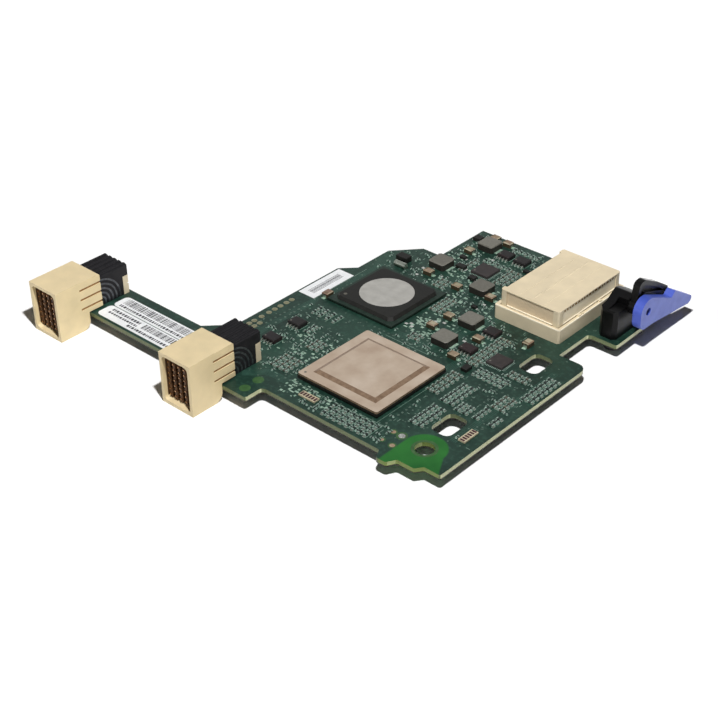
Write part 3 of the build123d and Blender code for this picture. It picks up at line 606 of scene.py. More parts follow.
def taken_places():
    """Rectangles on the board where nothing small can lie: parts, holes, slots and the rear notch."""
    places = [(-16.2, 16.2, -8.8, 27.0), (-16.2, 57.2, -8.8, 68.0), (-10.4, 70.8, 1.0, 87.0),
              (-18.5, -4.0, 1.0, 15.4), (-20.6, 7.5, -17.8, 10.3), (-96.0, 42.0, -88.0, 70.0)]
    for node in (*CHIP_NODES, "resistor_arrays", "power_inductors", "small_outline_packages",
                 "flat_packages", "tantalum_capacitors", "fuse_block", "crystal_can", "transistor",
                 "lidded_chip_substrate", "disc_chip_substrate", "mezzanine_base", "lever_bracket"):
        for low, high in solids(node):
            x0, y0, x1, y1 = footprint(low, high)
            places.append(((x0 - board_high.x) / MM - ROOM, (y0 - board_high.y) / MM + BOARD_BACK - ROOM,
                           (x1 - board_high.x) / MM + ROOM, (y1 - board_high.y) / MM + BOARD_BACK + ROOM))
    return places


taken = taken_places()


def is_free(x, y):
    """Whether a small thing at this point of the board lies on bare solder mask."""
    on_board = -95.0 < x < -1.0 and 1.0 < y < 117.4 and not (x < -74.8 and y > 93.4)
    on_board = on_board and not (x < -90.0 and y > 64.0) and not (x < -81.0 and y > 85.0 + 1.1 * (x + 91.1))
    return on_board and not any(x0 < x < x1 and y0 < y < y1 for x0, y0, x1, y1 in taken)


BUSY_ZONES = (                           # low x, low y, high x, high y and number of tiny chips, in mm
    (-54.0, 1.8, -22.5, 9.2, 150), (-75.0, 8.0, -61.8, 36.0, 60), (-62.0, 41.8, -38.0, 50.0, 18),
    (-28.0, 12.0, -2.5, 60.0, 60), (-75.0, 70.0, -40.0, 116.5, 190), (-44.0, 46.0, -22.0, 74.0, 80),
    (-88.0, 12.0, -76.0, 46.0, 26), (-90.0, 76.0, -75.0, 94.0, 30),
)
TINY_CHIP = (1.0, 0.5, 0.34)             # a tiny chip's length, width and height, in mm
TINY_CAP = 0.24                          # how far its end caps reach over it
TINY_GRID = 0.35                         # scattered chips lie on this grid
TINY_ROOM = 0.95                         # and keep this far from one another


def tiny_chips():
    """Tiny chips between the rows of each block and scattered over the busy zones of the board."""
    bodies, caps, pads = bmesh.new(), bmesh.new(), []
    length, width, height = TINY_CHIP

    def add(spot, axis):
        """Add a chip that lies along an axis, 0 or 1, on a point of the board's top face."""
        half = Vector((length / 2, width / 2, 0) if axis == 0 else (width / 2, length / 2, 0)) * MM
        low, high = spot - half, spot + half
        add_box(bodies, low, high + Vector((0, 0, height * MM)))
        for way, tip in ends(low, high, axis):
            cap_low, cap_high = slab(low, high, axis, tip - way * TINY_CAP * MM, tip + way * CAP_SKIN * MM,
                                     CAP_SKIN * MM)
            cap_high.z += (height + CAP_SKIN) * MM
            add_box(caps, cap_low, cap_high)
            pad = slab(low, high, axis, tip - way * 0.3 * MM, tip + way * 0.26 * MM, 0.06 * MM)
            pads.append(footprint(*pad))

    for node in CHIP_NODES:
        boxes = solids(node)
        for low, high in boxes:
            axis = long_axis(low, high)
            other = 1 - axis
            middle = (low + high) / 2
            steps = [(a + b)[other] / 2 - middle[other] for a, b in boxes
                     if abs((a + b)[axis] / 2 - middle[axis]) < 0.3 * MM
                     and 1.5 * MM < (a + b)[other] / 2 - middle[other] < 2.9 * MM]
            if steps:
                middle[other] += min(steps) / 2
                middle.z = low.z
                add(middle, axis)
    for x0, y0, x1, y1, count in BUSY_ZONES:
        for _ in range(count):
            x, y = [round(scatter.uniform(*limits) / TINY_GRID) * TINY_GRID
                    for limits in ((x0, x1), (y0, y1))]
            if is_free(x, y):
                add(at(x, y), scatter.choice((0, 1)))
                taken.append((x - TINY_ROOM, y - TINY_ROOM, x + TINY_ROOM, y + TINY_ROOM))
    finish_piece("tiny_chips", bodies, "resistor")
    finish_piece("tiny_chip_caps", caps, "paste")
    rects("tiny_chip_pads", pads, "paste", ground())


ARRAY_ELEMENTS = 6                       # the number of glazed elements on a resistor array
ELEMENT_GAP = 0.16                       # half the pale gap between two of them, in mm


def array_elements():
    """The dark glazed elements of the resistor arrays, with pale gaps and end terminals between."""
    glaze = bmesh.new()
    for low, high in solids("resistor_arrays"):
        axis = long_axis(low, high)
        step = (high - low)[axis] / ARRAY_ELEMENTS
        for number in range(ARRAY_ELEMENTS):
            start = low[axis] + number * step
            start, end = start + ELEMENT_GAP * MM, start + step - ELEMENT_GAP * MM
            part_low, part_high = slab(low, high, axis, start, end, -0.4 * MM)
            part_low.z, part_high.z = high.z - 0.05 * MM, high.z + 0.02 * MM
            add_box(glaze, part_low, part_high)
    finish_piece("array_elements", glaze, "red_moulding")


POWER_ZONES = (                          # low x, low y, high x, high y and number of bare pads, in mm
    (-74.4, 80.0, -60.0, 108.0, 80), (-60.0, 52.0, -43.0, 62.5, 70), (-60.0, 72.0, -42.0, 90.0, 60),
    (-56.0, 62.5, -38.0, 76.0, 60), (-78.0, 18.0, -64.0, 30.0, 60), (-62.0, 2.5, -44.0, 12.0, 60),
)
LEADLESS_PITCH = 0.55                    # the pads of the square leadless packages: their pitch, in mm
LEADLESS_PAD = (0.75, 0.1, 0.15)         # how far they reach out and in, and half their width


def larger_pads():
    """Pads under the moulded capacitors, inductors and eight-lead packages, and bare ones beside them."""
    pads, wide = [], []
    for low, high in solids("tantalum_capacitors") + solids("power_inductors"):
        axis = long_axis(low, high)
        inset = 0.22 * (high - low)[1 - axis]
        for way, tip in ends(low, high, axis):
            wide.append(footprint(*slab(low, high, axis, tip - way * 0.4 * MM, tip + way * MM, -inset)))
    for low, high in solids("small_outline_leads"):
        pads.append(footprint(low, high, 0.08 * MM, 0.3 * MM))
    for low, high in solids("flat_packages"):
        size = high - low
        count = int(size.x / (LEADLESS_PITCH * MM))
        reach, lap, half = [length * MM for length in LEADLESS_PAD]
        for number in range(count):
            along = (number + 0.5) / count
            x, y = low.x + along * size.x, low.y + along * size.y
            pads += [(x - half, low.y - reach, x + half, low.y + lap),
                     (x - half, high.y - lap, x + half, high.y + reach),
                     (low.x - reach, y - half, low.x + lap, y + half),
                     (high.x - lap, y - half, high.x + reach, y + half)]
    for x0, y0, x1, y1, count in POWER_ZONES:
        for _ in range(count):
            x, y = scatter.uniform(x0, x1), scatter.uniform(y0, y1)
            half_x, half_y = scatter.uniform(0.25, 0.7), scatter.uniform(0.2, 0.45)
            if is_free(x, y):
                wide.append(area(x - half_x, y - half_y, x + half_x, y + half_y))
    rects("larger_pads", pads, "paste", ground())
    rects("wide_pads", wide, "teal_pad", ground(1.1))


PRINT_LINES = (                          # low x, low y, high x, high y of longer printed lines, in mm
    (-20.05, 28.8, -19.85, 40.4), (-20.05, 15.0, -19.85, 26.6), (-3.3, 44.4, -3.1, 59.2),
    (-54.7, 65.4, -54.5, 75.2), (-27.2, 49.0, -27.0, 67.6), (-35.4, 8.9, -24.6, 9.05),
    (-61.9, 8.4, -28.6, 8.52),
    (-28.7, 8.4, -28.58, 42.4), (-88.3, 46.0, -88.15, 72.0), (-57.0, 45.2, -40.0, 45.35),
)
STROKE = 0.16                            # the width of the printed lines beside the parts, in mm
LOOSE_STROKE = 0.17                      # and of the scattered short strokes


def silkscreen():
    """Printed lines beside the parts, and short strokes where the board carries its small marks."""
    flats = []
    for low, high in solids("small_outline_packages"):
        margin, line = 0.35 * MM, STROKE * MM
        flats += [(low.x - margin, low.y, low.x - margin + line, high.y),
                  (high.x + margin - line, low.y, high.x + margin, high.y)]
    for low, high in solids("chip_capacitors") + solids("chip_resistors"):
        stroke = list(footprint(low, high, 0.4 * MM, 0.4 * MM))
        other = 1 - long_axis(low, high)
        stroke[other], stroke[other + 2] = high[other] + STROKE * MM, high[other] + 2 * STROKE * MM
        flats.append(stroke)
    flats += [area(*line) for line in PRINT_LINES]
    for x0, y0, x1, y1, count in BUSY_ZONES:
        for _ in range(count):
            x, y, length = scatter.uniform(x0, x1), scatter.uniform(y0, y1), scatter.uniform(0.5, 1.5)
            across = scatter.random() < 0.5
            if is_free(x, y) and is_free(x + length * across, y + length * (not across)):
                end = (x + length, y + LOOSE_STROKE) if across else (x + LOOSE_STROKE, y + length)
                flats.append(area(x, y, *end))
    rects("board_print", flats, "silk", ground(1.4))


KEY_HOLE = (-19.2, 8.9)                  # the small hole beside the corner, in mm
KEY_HOLE_R = 1.12                        # the inner radius of its ring
LINER_R = 1.06                           # and its plating's
TEST_DISCS = ((-22.2, 8.8, 0.75), (-22.3, 4.0, 0.6), (-18.4, 3.8, 0.8))   # x, y and radius, in mm
FIDUCIALS = ((-68.8, 2.0), (-68.8, -3.5))
VIA_ROWS = (                             # x, y, the step to the next one in x and y, and their number, in mm
    (-87.5, 24.0, 0, 2.1, 9), (-89.6, 26.0, 0, 2.1, 8), (-74.0, 33.4, 2.0, 0, 5),
    (-62.5, 46.6, 1.9, 0, 15), (-26.4, 9.0, 0, 1.7, 9), (-63.6, 8.0, 1.9, 0, 7),
    (-45.0, 49.2, 0, 2.0, 6), (-17.0, 44.0, 2.0, 0, 6), (-12.0, 33.0, 0, 1.9, 6),
    (-70.0, 107.0, 0, -2.0, 4), (-55.5, 91.0, 0, 2.2, 5), (-84.6, 76.0, 0, 1.9, 4),
)
LOOSE_VIAS = 900                         # tries to scatter a via over the board


def round_features():
    """Plated rings, test points, fiducials and vias."""
    plated, rings, green, vias, liner = [bmesh.new() for _ in range(5)]
    for x, y, radius in TEST_DISCS:
        add_ring(plated, at(x, y, INK_LIFT), 0, radius)
        add_ring(rings, at(x, y, INK_LIFT), radius, radius + 0.45)
    add_ring(rings, at(*KEY_HOLE, INK_LIFT), KEY_HOLE_R, 1.7)
    add_ring(rings, at(*CORNER_HOLE, INK_LIFT), 2.93, 3.9, sides=48)
    for x, y in FIDUCIALS:
        add_ring(green, at(x, y, INK_LIFT), 0, 1.75)
    for x, y, step_x, step_y, count in VIA_ROWS:
        for number in range(count):
            spot = (x + number * step_x, y + number * step_y)
            if is_free(*spot):
                add_ring(vias, at(*spot, INK_LIFT), 0.14, 0.34, sides=12)
    for _ in range(LOOSE_VIAS):
        spot = (scatter.uniform(-94, -3), scatter.uniform(2, 116))
        if is_free(*spot):
            add_ring(vias, at(*spot, INK_LIFT * 0.6), 0.1, 0.26, sides=10)
    top, bottom = [], []
    for step in range(24):
        turn = 2 * math.pi * step / 24
        spot = (KEY_HOLE[0] + LINER_R * math.cos(turn), KEY_HOLE[1] + LINER_R * math.sin(turn))
        top.append(liner.verts.new(at(*spot, INK_LIFT)))
        bottom.append(liner.verts.new(at(*spot, -1.55)))
    for corners in zip(top, top[1:] + top[:1], bottom[1:] + bottom[:1], bottom):
        liner.faces.new(corners)
    # painted light: the small hole's plating is near white, so the hole reads bright
    finish_piece("key_hole_liner", liner, "painted_white_liner_tin")
    finish_piece("copper_discs", plated, "copper_ring")
    finish_piece("mask_rings", rings, "fiducial")
    finish_piece("pale_discs", green, "fiducial")
    finish_piece("vias", vias, "via")


EDGE_PADS = (*[(-93.3, y) for y in (41.3, 38.9, 36.2, 33.6, 31.0, 27.7, 24.5, 22.3)],
             (-91.0, 24.6), (-91.0, 22.2))


def edge_pads():
    """Pairs of tinned pads with low solder crowns along the board's left edge."""
    crowns = bmesh.new()
    for x, y in EDGE_PADS:
        add_ring(crowns, at(x, y, INK_LIFT), 0.5, 0.95, 0.16, 20)
        add_ring(crowns, at(x, y, INK_LIFT + 0.16), 0, 0.5, 0.03, 20)
    finish_piece("edge_pads", crowns, "pad")


TRACE_BUNDLES = (                        # start, runs, number of traces, pitch and width, in mm
    ((-62.0, 8.4), ((-8.0, 0), (-6.0, -6.0), (-60.0, 0)), 6, 0.5, 0.2),
    ((-84.5, 50.0), ((0, 26.0), (-2.0, 2.0)), 6, 0.6, 0.22),
    ((-29.0, 42.0), ((0, 22.0), (-6.0, 6.0), (0, 6.0)), 6, 0.55, 0.2),
    ((-58.0, 47.5), ((14.0, 0), (6.0, 6.0), (0, 22.0)), 5, 0.55, 0.2),
    ((-6.2, 16.0), ((0, 22.0), (2.0, 2.0), (0, 22.0)), 4, 0.6, 0.2),
    ((-86.5, 20.0), ((0, 26.0), (-3.0, 3.0)), 5, 0.55, 0.2),
)


def traces():
    """Copper runs that show faintly through the mask: one polyline for each bundle, repeated sideways."""
    data = bmesh.new()
    for start, runs, count, pitch, width in TRACE_BUNDLES:
        points = [Vector(start)]
        for run in runs:
            points.append(points[-1] + Vector(run))
        for number in range(count):
            for first, second in zip(points, points[1:]):
                along = (second - first).normalized()
                side = Vector((-along.y, along.x))
                near, far = [side * (number * pitch + half) for half in (-width / 2, width / 2)]
                data.faces.new([data.verts.new(at(p.x, p.y, INK_LIFT * 0.5))
                                for p in (first + near, second + near, second + far, first + far)])
    finish_piece("traces", data, "trace")


# Chips

def solder_spheres(node, name):
    """Round solder balls in place of a node's short posts."""
    data = bmesh.new()
    for low, high in solids(node):
        made = bmesh.ops.create_icosphere(data, subdivisions=2, radius=(high.z - low.z) * 0.62)["verts"]
        for vert in made:
            vert.co.z *= 0.8
            vert.co += (low + high) / 2
    for face in data.faces:
        face.smooth = True
    piece = finish_piece(name, data, "solder")
    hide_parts(node)


BLACK_PARTS = (                          # x, y, length, width and height, in mm
    (-72.6, 112.0, 3.0, 2.6, 1.3), (-65.0, 93.0, 3.4, 2.2, 1.2), (-57.6, 89.6, 2.6, 2.2, 1.1),
    (-68.6, 98.6, 2.2, 1.6, 0.9), (-46.8, 104.6, 2.4, 1.4, 0.9), (-46.2, 75.8, 1.8, 1.4, 0.8),
)
BARE_PADS = (
    (-51.6, 60.9), (-50.2, 61.4), (-55.2, 55.6), (-54.0, 54.4), (-56.4, 54.6), (-47.6, 62.6), (-62.8, 83.4),
    (-66.6, 84.4), (-74.6, 84.8), (-73.6, 80.2), (-60.4, 104.2), (-36.4, 58.4), (-36.0, 51.8), (-45.0, 79.4),
)


def small_black_parts():
    """Small moulded parts with a pad at each end, and some bare pads, near the power stages."""
    bodies, pads = bmesh.new(), []
    for x, y, length, width, height in BLACK_PARTS:
        low, high = at(x - length / 2, y - width / 2), at(x + length / 2, y + width / 2, height)
        add_box(bodies, low, high)
        for end in (low.x, high.x):
            pads.append((end - 0.5 * MM, low.y + 0.3 * MM, end + 0.5 * MM, high.y - 0.3 * MM))
    pads += [area(x - 0.55, y - 0.45, x + 0.55, y + 0.45) for x, y in BARE_PADS]
    soften(finish_piece("small_black_parts", bodies, "moulding"), 0.1)
    rects("bare_pads", pads, "bright_tin", ground(1.2))


LID_BRIM = 0.71                          # the height of the lid's brim in mm


def package_marks():
    """Pin-one dots and polarity bands, pressed or printed on the packages."""
    dots, bands = bmesh.new(), bmesh.new()

    def dot(corner, z, inset, radius, sides):
        """Add a dot at a package's front left corner, with its inset and radius in mm."""
        add_ring(dots, (corner.x + inset * MM, corner.y + inset * MM, z), 0, radius, sides=sides)

    for node, inset, radius in (("small_outline_packages", 0.8, 0.28), ("flat_packages", 1.0, 0.32)):
        for low, high in solids(node):
            dot(low, high.z + 0.01 * MM, inset, radius, 16)
    low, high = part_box("lidded_chip_lid")
    dot(low, low.z + LID_BRIM * MM, 1.7, 0.42, 20)
    low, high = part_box("disc_chip_mould")
    dot(low, high.z + 0.01 * MM, 2.6, 0.6, 20)
    for low, high in solids("tantalum_capacitors"):
        axis = long_axis(low, high)
        band_low, band_high = slab(low, high, axis, low[axis] + 0.34 * MM, low[axis] + 0.85 * MM, -0.32 * MM)
        band_low.z, band_high.z = high.z - 0.05 * MM, high.z + 0.01 * MM
        add_box(bands, band_low, band_high)
    finish_piece("pin_one_dots", dots, "ferrite")
    finish_piece("polarity_bands", bands, "band")


def tantalum_ends():
    """Folded metal ends of the moulded capacitors."""
    data = bmesh.new()
    for low, high in solids("tantalum_capacitors"):
        axis = long_axis(low, high)
        size = high - low
        for way, tip in ends(low, high, axis):
            inner, outer = tip - way * 0.1 * MM, tip + way * 0.12 * MM
            strip_low, strip_high = slab(low, high, axis, inner, outer, -0.2 * size[1 - axis])
            strip_high.z = low.z + size.z * 0.62
            add_box(data, strip_low, strip_high)
    finish_piece("moulded_capacitor_ends", data, "tin")


# Headers

CARRIER_INSET = 1.7                      # from a header's mouth to the contact carriers' noses, in mm
CARRIER_HALF = 0.45                      # half a carrier's width
MOUTH_WALL = 1.07                        # the thickness of a housing's side walls at its mouth
CONTACT_SKIN = 0.09                      # how far a contact stands off its carrier
CONTACT_HALF = 0.26                      # half a contact's height
CONTACT_START = 0.35                     # from a carrier's nose to its side contacts
TIP = (0.2, 0.3, 0.22)                   # a nose contact's half width, length and half height
MOUTH_SHADE_SHEET = (1.3, 0.1)                       # the painted shade sheet on the left wall of a mouth: how far in it starts, and its thickness
LEAD_RUNS = 5                            # the bent contact runs on the last wafer
LEAD_R = (2.2, 1.5, 0.62)                # the first bend's outer radius, the step to the next, a run's width
LEAD_CENTRE = (0.2, 4.6)                 # the bends' centre: behind the housing, and above the wafer's foot
LEAD_ENDS = (0.6, 0.3)                   # how far the runs reach into the housing, and end above the board
BEND_STEPS = 16
LOUVRE_HEIGHTS = (2.6, 6.0, 9.4)         # the middles of a housing's side grooves above the board, in mm
LOUVRE_DEPTHS = (0.28, 0.42)             # the painted shade strips in the grooves' bottoms: from and to which depth
LOUVRE_LENGTH = 8.2                      # and how far they reach from the housing's rear
RIDGE_SHARES = (0.34, 0.66)              # where a wafer's top ridges lie across its width
RIDGE_HALF = 0.14                        # half a ridge's width
RIDGE_MARGIN = 0.1                       # a ridge's height, and its distance from both ends


def header_contacts(side):
    """The carriers in a header's mouth, one for each wafer, with rows of contacts on both faces, and a sheet
    on the mouth's left wall. The carriers stand for the wafers' tongues, but their dark tone is partly
    painted shade of the deep mouth, and the sheet is only painted shade.
    """
    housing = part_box(side + "_header_housing")[0]
    blades = solids(side + "_header_blades")
    columns = sorted({round((a.x + b.x) / 2, 5) for a, b in blades})
    rows = sorted({round((a.z + b.z) / 2, 5) for a, b in blades})
    back = blades[0][1].y
    margin = (rows[1] - rows[0]) * 0.6
    foot, top = rows[0] - margin, rows[-1] + margin
    carriers, contacts = bmesh.new(), bmesh.new()
    nose_y = housing.y + CARRIER_INSET * MM
    for x in columns:
        add_box(carriers, (x - CARRIER_HALF * MM, nose_y, foot), (x + CARRIER_HALF * MM, back, top))
        for z in rows:
            for face in (-1, 1):
                near = x + face * CARRIER_HALF * MM
                low_x, high_x = sorted((near, near + face * CONTACT_SKIN * MM))
                add_box(contacts, (low_x, nose_y + CONTACT_START * MM, z - CONTACT_HALF * MM),
                        (high_x, back, z + CONTACT_HALF * MM))
            add_box(contacts, (x - TIP[0] * MM, nose_y - TIP[1] * MM, z - TIP[2] * MM),
                    (x + TIP[0] * MM, nose_y, z + TIP[2] * MM))
    # painted shade: a dark sheet on the mouth's left inner wall
    wall = housing.x + MOUTH_WALL * MM
    add_box(carriers, (wall, housing.y + MOUTH_SHADE_SHEET[0] * MM, foot), (wall + MOUTH_SHADE_SHEET[1] * MM, back, top))
    finish_piece(side + "_header_carriers", carriers, "mouth_shade")
    finish_piece(side + "_header_contacts", contacts, "contact")


def lead_frames(side):
    """Bent contact runs on the outer face of a header's last wafer, from its housing down to the board."""
    low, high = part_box(f"{side}_header_wafer_5")
    face = high.x + 0.02 * MM
    centre_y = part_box(side + "_header_housing")[1].y + LEAD_CENTRE[0] * MM
    centre_z = low.z + LEAD_CENTRE[1] * MM
    data = bmesh.new()
    for number in range(LEAD_RUNS):
        outer = (LEAD_R[0] + number * LEAD_R[1]) * MM
        radii = (outer, outer - LEAD_R[2] * MM)
        rim = [(centre_y - LEAD_ENDS[0] * MM, centre_z + radius) for radius in radii]
        for step in range(BEND_STEPS + 1):
            turn = math.radians(step * 90 / BEND_STEPS)
            s, c = math.sin(turn), math.cos(turn)
            rim += [(centre_y + radius * s, centre_z + radius * c) for radius in radii]
        rim += [(centre_y + radius, board_high.z + LEAD_ENDS[1] * MM) for radius in radii]
        verts = [data.verts.new((face, y, z)) for y, z in rim]
        for a, b, c, d in zip(verts[::2], verts[1::2], verts[2::2], verts[3::2]):
            data.faces.new((a, b, d, c))
    finish_piece(side + "_lead_frame", data, "lead_frame")


def louvre_shade(side):
    """Painted shade: dark strips in the bottoms of the three grooves on each side of a header's housing."""
    low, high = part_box(side + "_header_housing")
    data = bmesh.new()
    for height in LOUVRE_HEIGHTS:
        z = board_high.z + height * MM
        for outer, inward in ((low.x, 1), (high.x, -1)):
            x0, x1 = sorted(outer + inward * depth * MM for depth in LOUVRE_DEPTHS)
            add_box(data, (x0, high.y - LOUVRE_LENGTH * MM, z - 0.36 * MM),
                    (x1, high.y - 0.05 * MM, z + 0.38 * MM))
    finish_piece(side + "_header_louvres", data, "painted_groove_shade")


def wafer_ridges():
    """Two fine moulded ridges along the top of every wafer."""
    data = bmesh.new()
    for side in SIDES:
        rear_of_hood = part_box(side + "_header_housing")[1].y
        for number in WAFERS:
            low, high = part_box(f"{side}_header_wafer_{number}")
            for share in RIDGE_SHARES:
                x = low.x + share * (high.x - low.x)
                add_box(data, (x - RIDGE_HALF * MM, rear_of_hood + RIDGE_MARGIN * MM, high.z - 0.05 * MM),
                        (x + RIDGE_HALF * MM, high.y - RIDGE_MARGIN * MM, high.z + RIDGE_MARGIN * MM))
    finish_piece("wafer_ridges", data, "wafer")


# Mezzanine connector

COVER_CORNER = 2.3                       # from the cover's corners to its side recesses, in mm
FRONT_PANEL = (0.34, 0.85)               # from the cover's front to the front panel's two faces
RIGHT_PANEL = (0.85, 0.3)                # from the cover's right side to the right panel's two faces
PANEL_FOOT = 0.75                        # from the tray's rim down to the panels' feet
PANEL_TOP = 0.46                         # from the roof down to the panels' tops
SLOT_LENGTHS = (0.5, 1.3)                # the small slots in the cover's right recess: shortest and longest
SLOT_HEIGHTS = (1.35, 0.62)              # from the roof down to their low and high ends
SLOT_GAP = 0.7                           # between two of them
LIP_WIDTH = 0.28                         # the painted highlight strips along the tray's edges
RIDGES = ((0.3, 0.5), (0.5, 1.1), (0.72, 0.5))     # share of the roof's width, and width in mm
KEYS = ((0.3, 1.6), (0.36, 0.5), (0.62, 1.2))      # share of the tray's length, and length in mm


def cover_panels():
    """Panels in the cover's front and right recesses, with a row of slot marks along the right one: painted
    shade on the front panel and the slot marks, painted light on the right panel.
    """
    low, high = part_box("mezzanine_cap")
    foot_z, top_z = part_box("mezzanine_base")[1].z - PANEL_FOOT * MM, high.z - PANEL_TOP * MM
    panels, lit, slots = bmesh.new(), bmesh.new(), bmesh.new()
    corner = COVER_CORNER * MM
    # painted shade: a dark panel in the front recess
    add_box(panels, (low.x + corner, low.y + FRONT_PANEL[0] * MM, foot_z),
            (high.x - corner, low.y + FRONT_PANEL[1] * MM, top_z))
    # painted light: a pale panel in the right recess
    add_box(lit, (high.x - RIGHT_PANEL[0] * MM, low.y + corner, foot_z),
            (high.x - RIGHT_PANEL[1] * MM, high.y - corner, top_z))
    # painted shade: dark slot marks along the right recess
    y = low.y + corner + 0.8 * MM
    while y < high.y - corner - 1.2 * MM:
        length = scatter.uniform(*SLOT_LENGTHS) * MM
        add_box(slots, (high.x - 0.4 * MM, y, high.z - SLOT_HEIGHTS[0] * MM),
                (high.x - 0.27 * MM, y + length, high.z - SLOT_HEIGHTS[1] * MM))
        y += length + SLOT_GAP * MM
    finish_piece("cover_panels", panels, "painted_shade_ivory")
    finish_piece("cover_side_panel", lit, "lit_ivory")
    finish_piece("cover_slots", slots, "painted_groove_shade")


def cover_ridges():
    """Low moulded ridges along the cover's roof."""
    low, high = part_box("mezzanine_cap")
    data = bmesh.new()

    def round_over(verts, centre, size):
        """Draw a ridge's upper edges in."""
        for vert in verts:
            if vert.co.z > centre.z:
                vert.co.x = centre.x + (vert.co.x - centre.x) * 0.4
    for share, width in RIDGES:
        x = low.x + share * (high.x - low.x)
        add_box(data, (x - width / 2 * MM, low.y + 0.6 * MM, high.z - 0.03 * MM),
                (x + width / 2 * MM, high.y - 0.6 * MM, high.z + 0.07 * MM), round_over)
    finish_piece("cover_ridges", data, "pale_ivory")


def tray_keys():
    """The small keys on the tray's right lip."""
    low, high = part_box("mezzanine_base")
    data = bmesh.new()
    for share, length in KEYS:
        y = low.y + share * (high.y - low.y)
        add_box(data, (high.x - 1.1 * MM, y, high.z - 0.05 * MM),
                (high.x - 0.25 * MM, y + length * MM, high.z + 0.42 * MM))
    finish_piece("tray_keys", data, "pale_ivory")


def tray_lip():
    """Painted highlights: thin near-white strips along the edges of the tray's front and right lip and of the
    foot of the cover.
    """
    low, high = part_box("mezzanine_base")
    foot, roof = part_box("mezzanine_cap")
    edge, corner, skin = LIP_WIDTH * MM, (COVER_CORNER + 0.1) * MM, 0.01 * MM
    data = bmesh.new()
    lip_z, foot_z = (high.z - 0.3 * MM, high.z + 0.02 * MM), (high.z - 0.05 * MM, high.z + 0.3 * MM)
    for x0, y0, x1, y1, (z0, z1) in (
            (low.x + edge, low.y - skin, high.x - edge, low.y + edge, lip_z),
            (high.x - edge, low.y + edge, high.x + skin, high.y - edge, lip_z),
            (foot.x + corner, foot.y + 0.05 * MM, roof.x - corner, foot.y + 0.4 * MM, foot_z),
            (roof.x - 0.4 * MM, foot.y + corner, roof.x - 0.05 * MM, roof.y - corner, foot_z)):
        add_box(data, (x0, y0, z0), (x1, y1, z1))
    finish_piece("tray_lip", data, "lip")


# Labels

PRINT = {                                # the widths of a kind's marks and of the gaps between them, in mm
    "bars": ((0.18, 0.18, 0.36, 0.54), (0.2, 0.3, 0.42)),
    "dashes": ((0.5, 0.7, 0.95), (0.3, 0.4)),
}
LABEL_ROWS = {                           # start, end, low and high as shares of the label, and the kind
    "side_label": ((0.3, 0.7, 0.12, 0.86, "bars"),),
    "arm_label_rear": ((0.05, 0.9, 0.4, 0.9, "bars"), (0.05, 0.82, 0.12, 0.29, "dashes")),
    "arm_label_front": ((0.4, 0.97, 0.48, 0.9, "bars"), (0.06, 0.36, 0.66, 0.84, "dashes"),
                        (0.06, 0.36, 0.4, 0.54, "dashes"), (0.3, 0.9, 0.14, 0.31, "dashes")),
}


def label_print(node):
    """Generic bars and dashes on a label."""
    low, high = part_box(node)
    size = high - low
    flats = []
    for x0, x1, y0, y1, kind in LABEL_ROWS[node]:
        widths, gaps = PRINT[kind]
        x, end = low.x + x0 * size.x, low.x + x1 * size.x
        while x < end:
            width = scatter.choice(widths) * MM
            gap = scatter.choice(gaps) * MM
            flats.append((x, low.y + y0 * size.y, min(x + width, end), low.y + y1 * size.y))
            x += width + gap
    rects(node + "_print", flats, "ink", high.z + 0.006 * MM)


# All pieces. Their order is also the order in which the random draws are made.

for node in CHIP_NODES:
    chip_solder(node)
tiny_chips()
array_elements()
larger_pads()
silkscreen()
round_features()
edge_pads()
traces()
solder_spheres("lidded_chip_balls", "lidded_chip_solder")
solder_spheres("disc_chip_balls", "disc_chip_solder")
small_black_parts()
package_marks()
tantalum_ends()
for dress in (header_contacts, lead_frames, louvre_shade):
    for side in SIDES:
        dress(side)
wafer_ridges()
cover_panels()
cover_ridges()
tray_keys()
tray_lip()
for node in LABEL_ROWS:
    label_print(node)


# Stage, light and camera

CAMERA_AT = (183.824, -232.352, 233.859)   # mm from the board's front right corner
CAMERA_AZIMUTH = 42.212
CAMERA_ELEVATION = 33.450
CAMERA_ROLL = -0.540
CAMERA_LENS = 70.86


def make_camera():
    """The camera that took the photograph, from the fit of the board's edges."""
    azimuth, elevation, roll = map(math.radians, (CAMERA_AZIMUTH, CAMERA_ELEVATION, CAMERA_ROLL))
    back = Vector((math.sin(azimuth) * math.cos(elevation), -math.cos(azimuth) * math.cos(elevation),
                   math.sin(elevation)))
    right = Vector((math.cos(azimuth), math.sin(azimuth), 0))
    up = back.cross(right)
    turned_right = right * math.cos(roll) + up * math.sin(roll)
    turned_up = up * math.cos(roll) - right * math.sin(roll)
    data = bpy.data.cameras.new("camera")
    data.lens = CAMERA_LENS
    data.sensor_width = 36.0
    data.clip_start = 0.01
    data.clip_end = 20.0
    camera = bpy.data.objects.new("camera", data)
    bpy.context.scene.collection.objects.link(camera)
    place = Matrix((turned_right, turned_up, back)).transposed().to_4x4()
    place.translation = at(*CAMERA_AT)
    camera.matrix_world = place
    bpy.context.scene.camera = camera


def make_lamp(name, kind, place, aim, energy, size):
    """A lamp that looks at a point."""
    data = bpy.data.lights.new(name, kind)
    data.energy = energy
    setattr(data, "size" if kind == "AREA" else "shadow_soft_size", size)
    lamp = bpy.data.objects.new(name, data)
    bpy.context.scene.collection.objects.link(lamp)
    lamp.location = place
    lamp.rotation_mode = "QUATERNION"
    lamp.rotation_quaternion = (aim - place).to_track_quat("-Z", "Y")
    return lamp


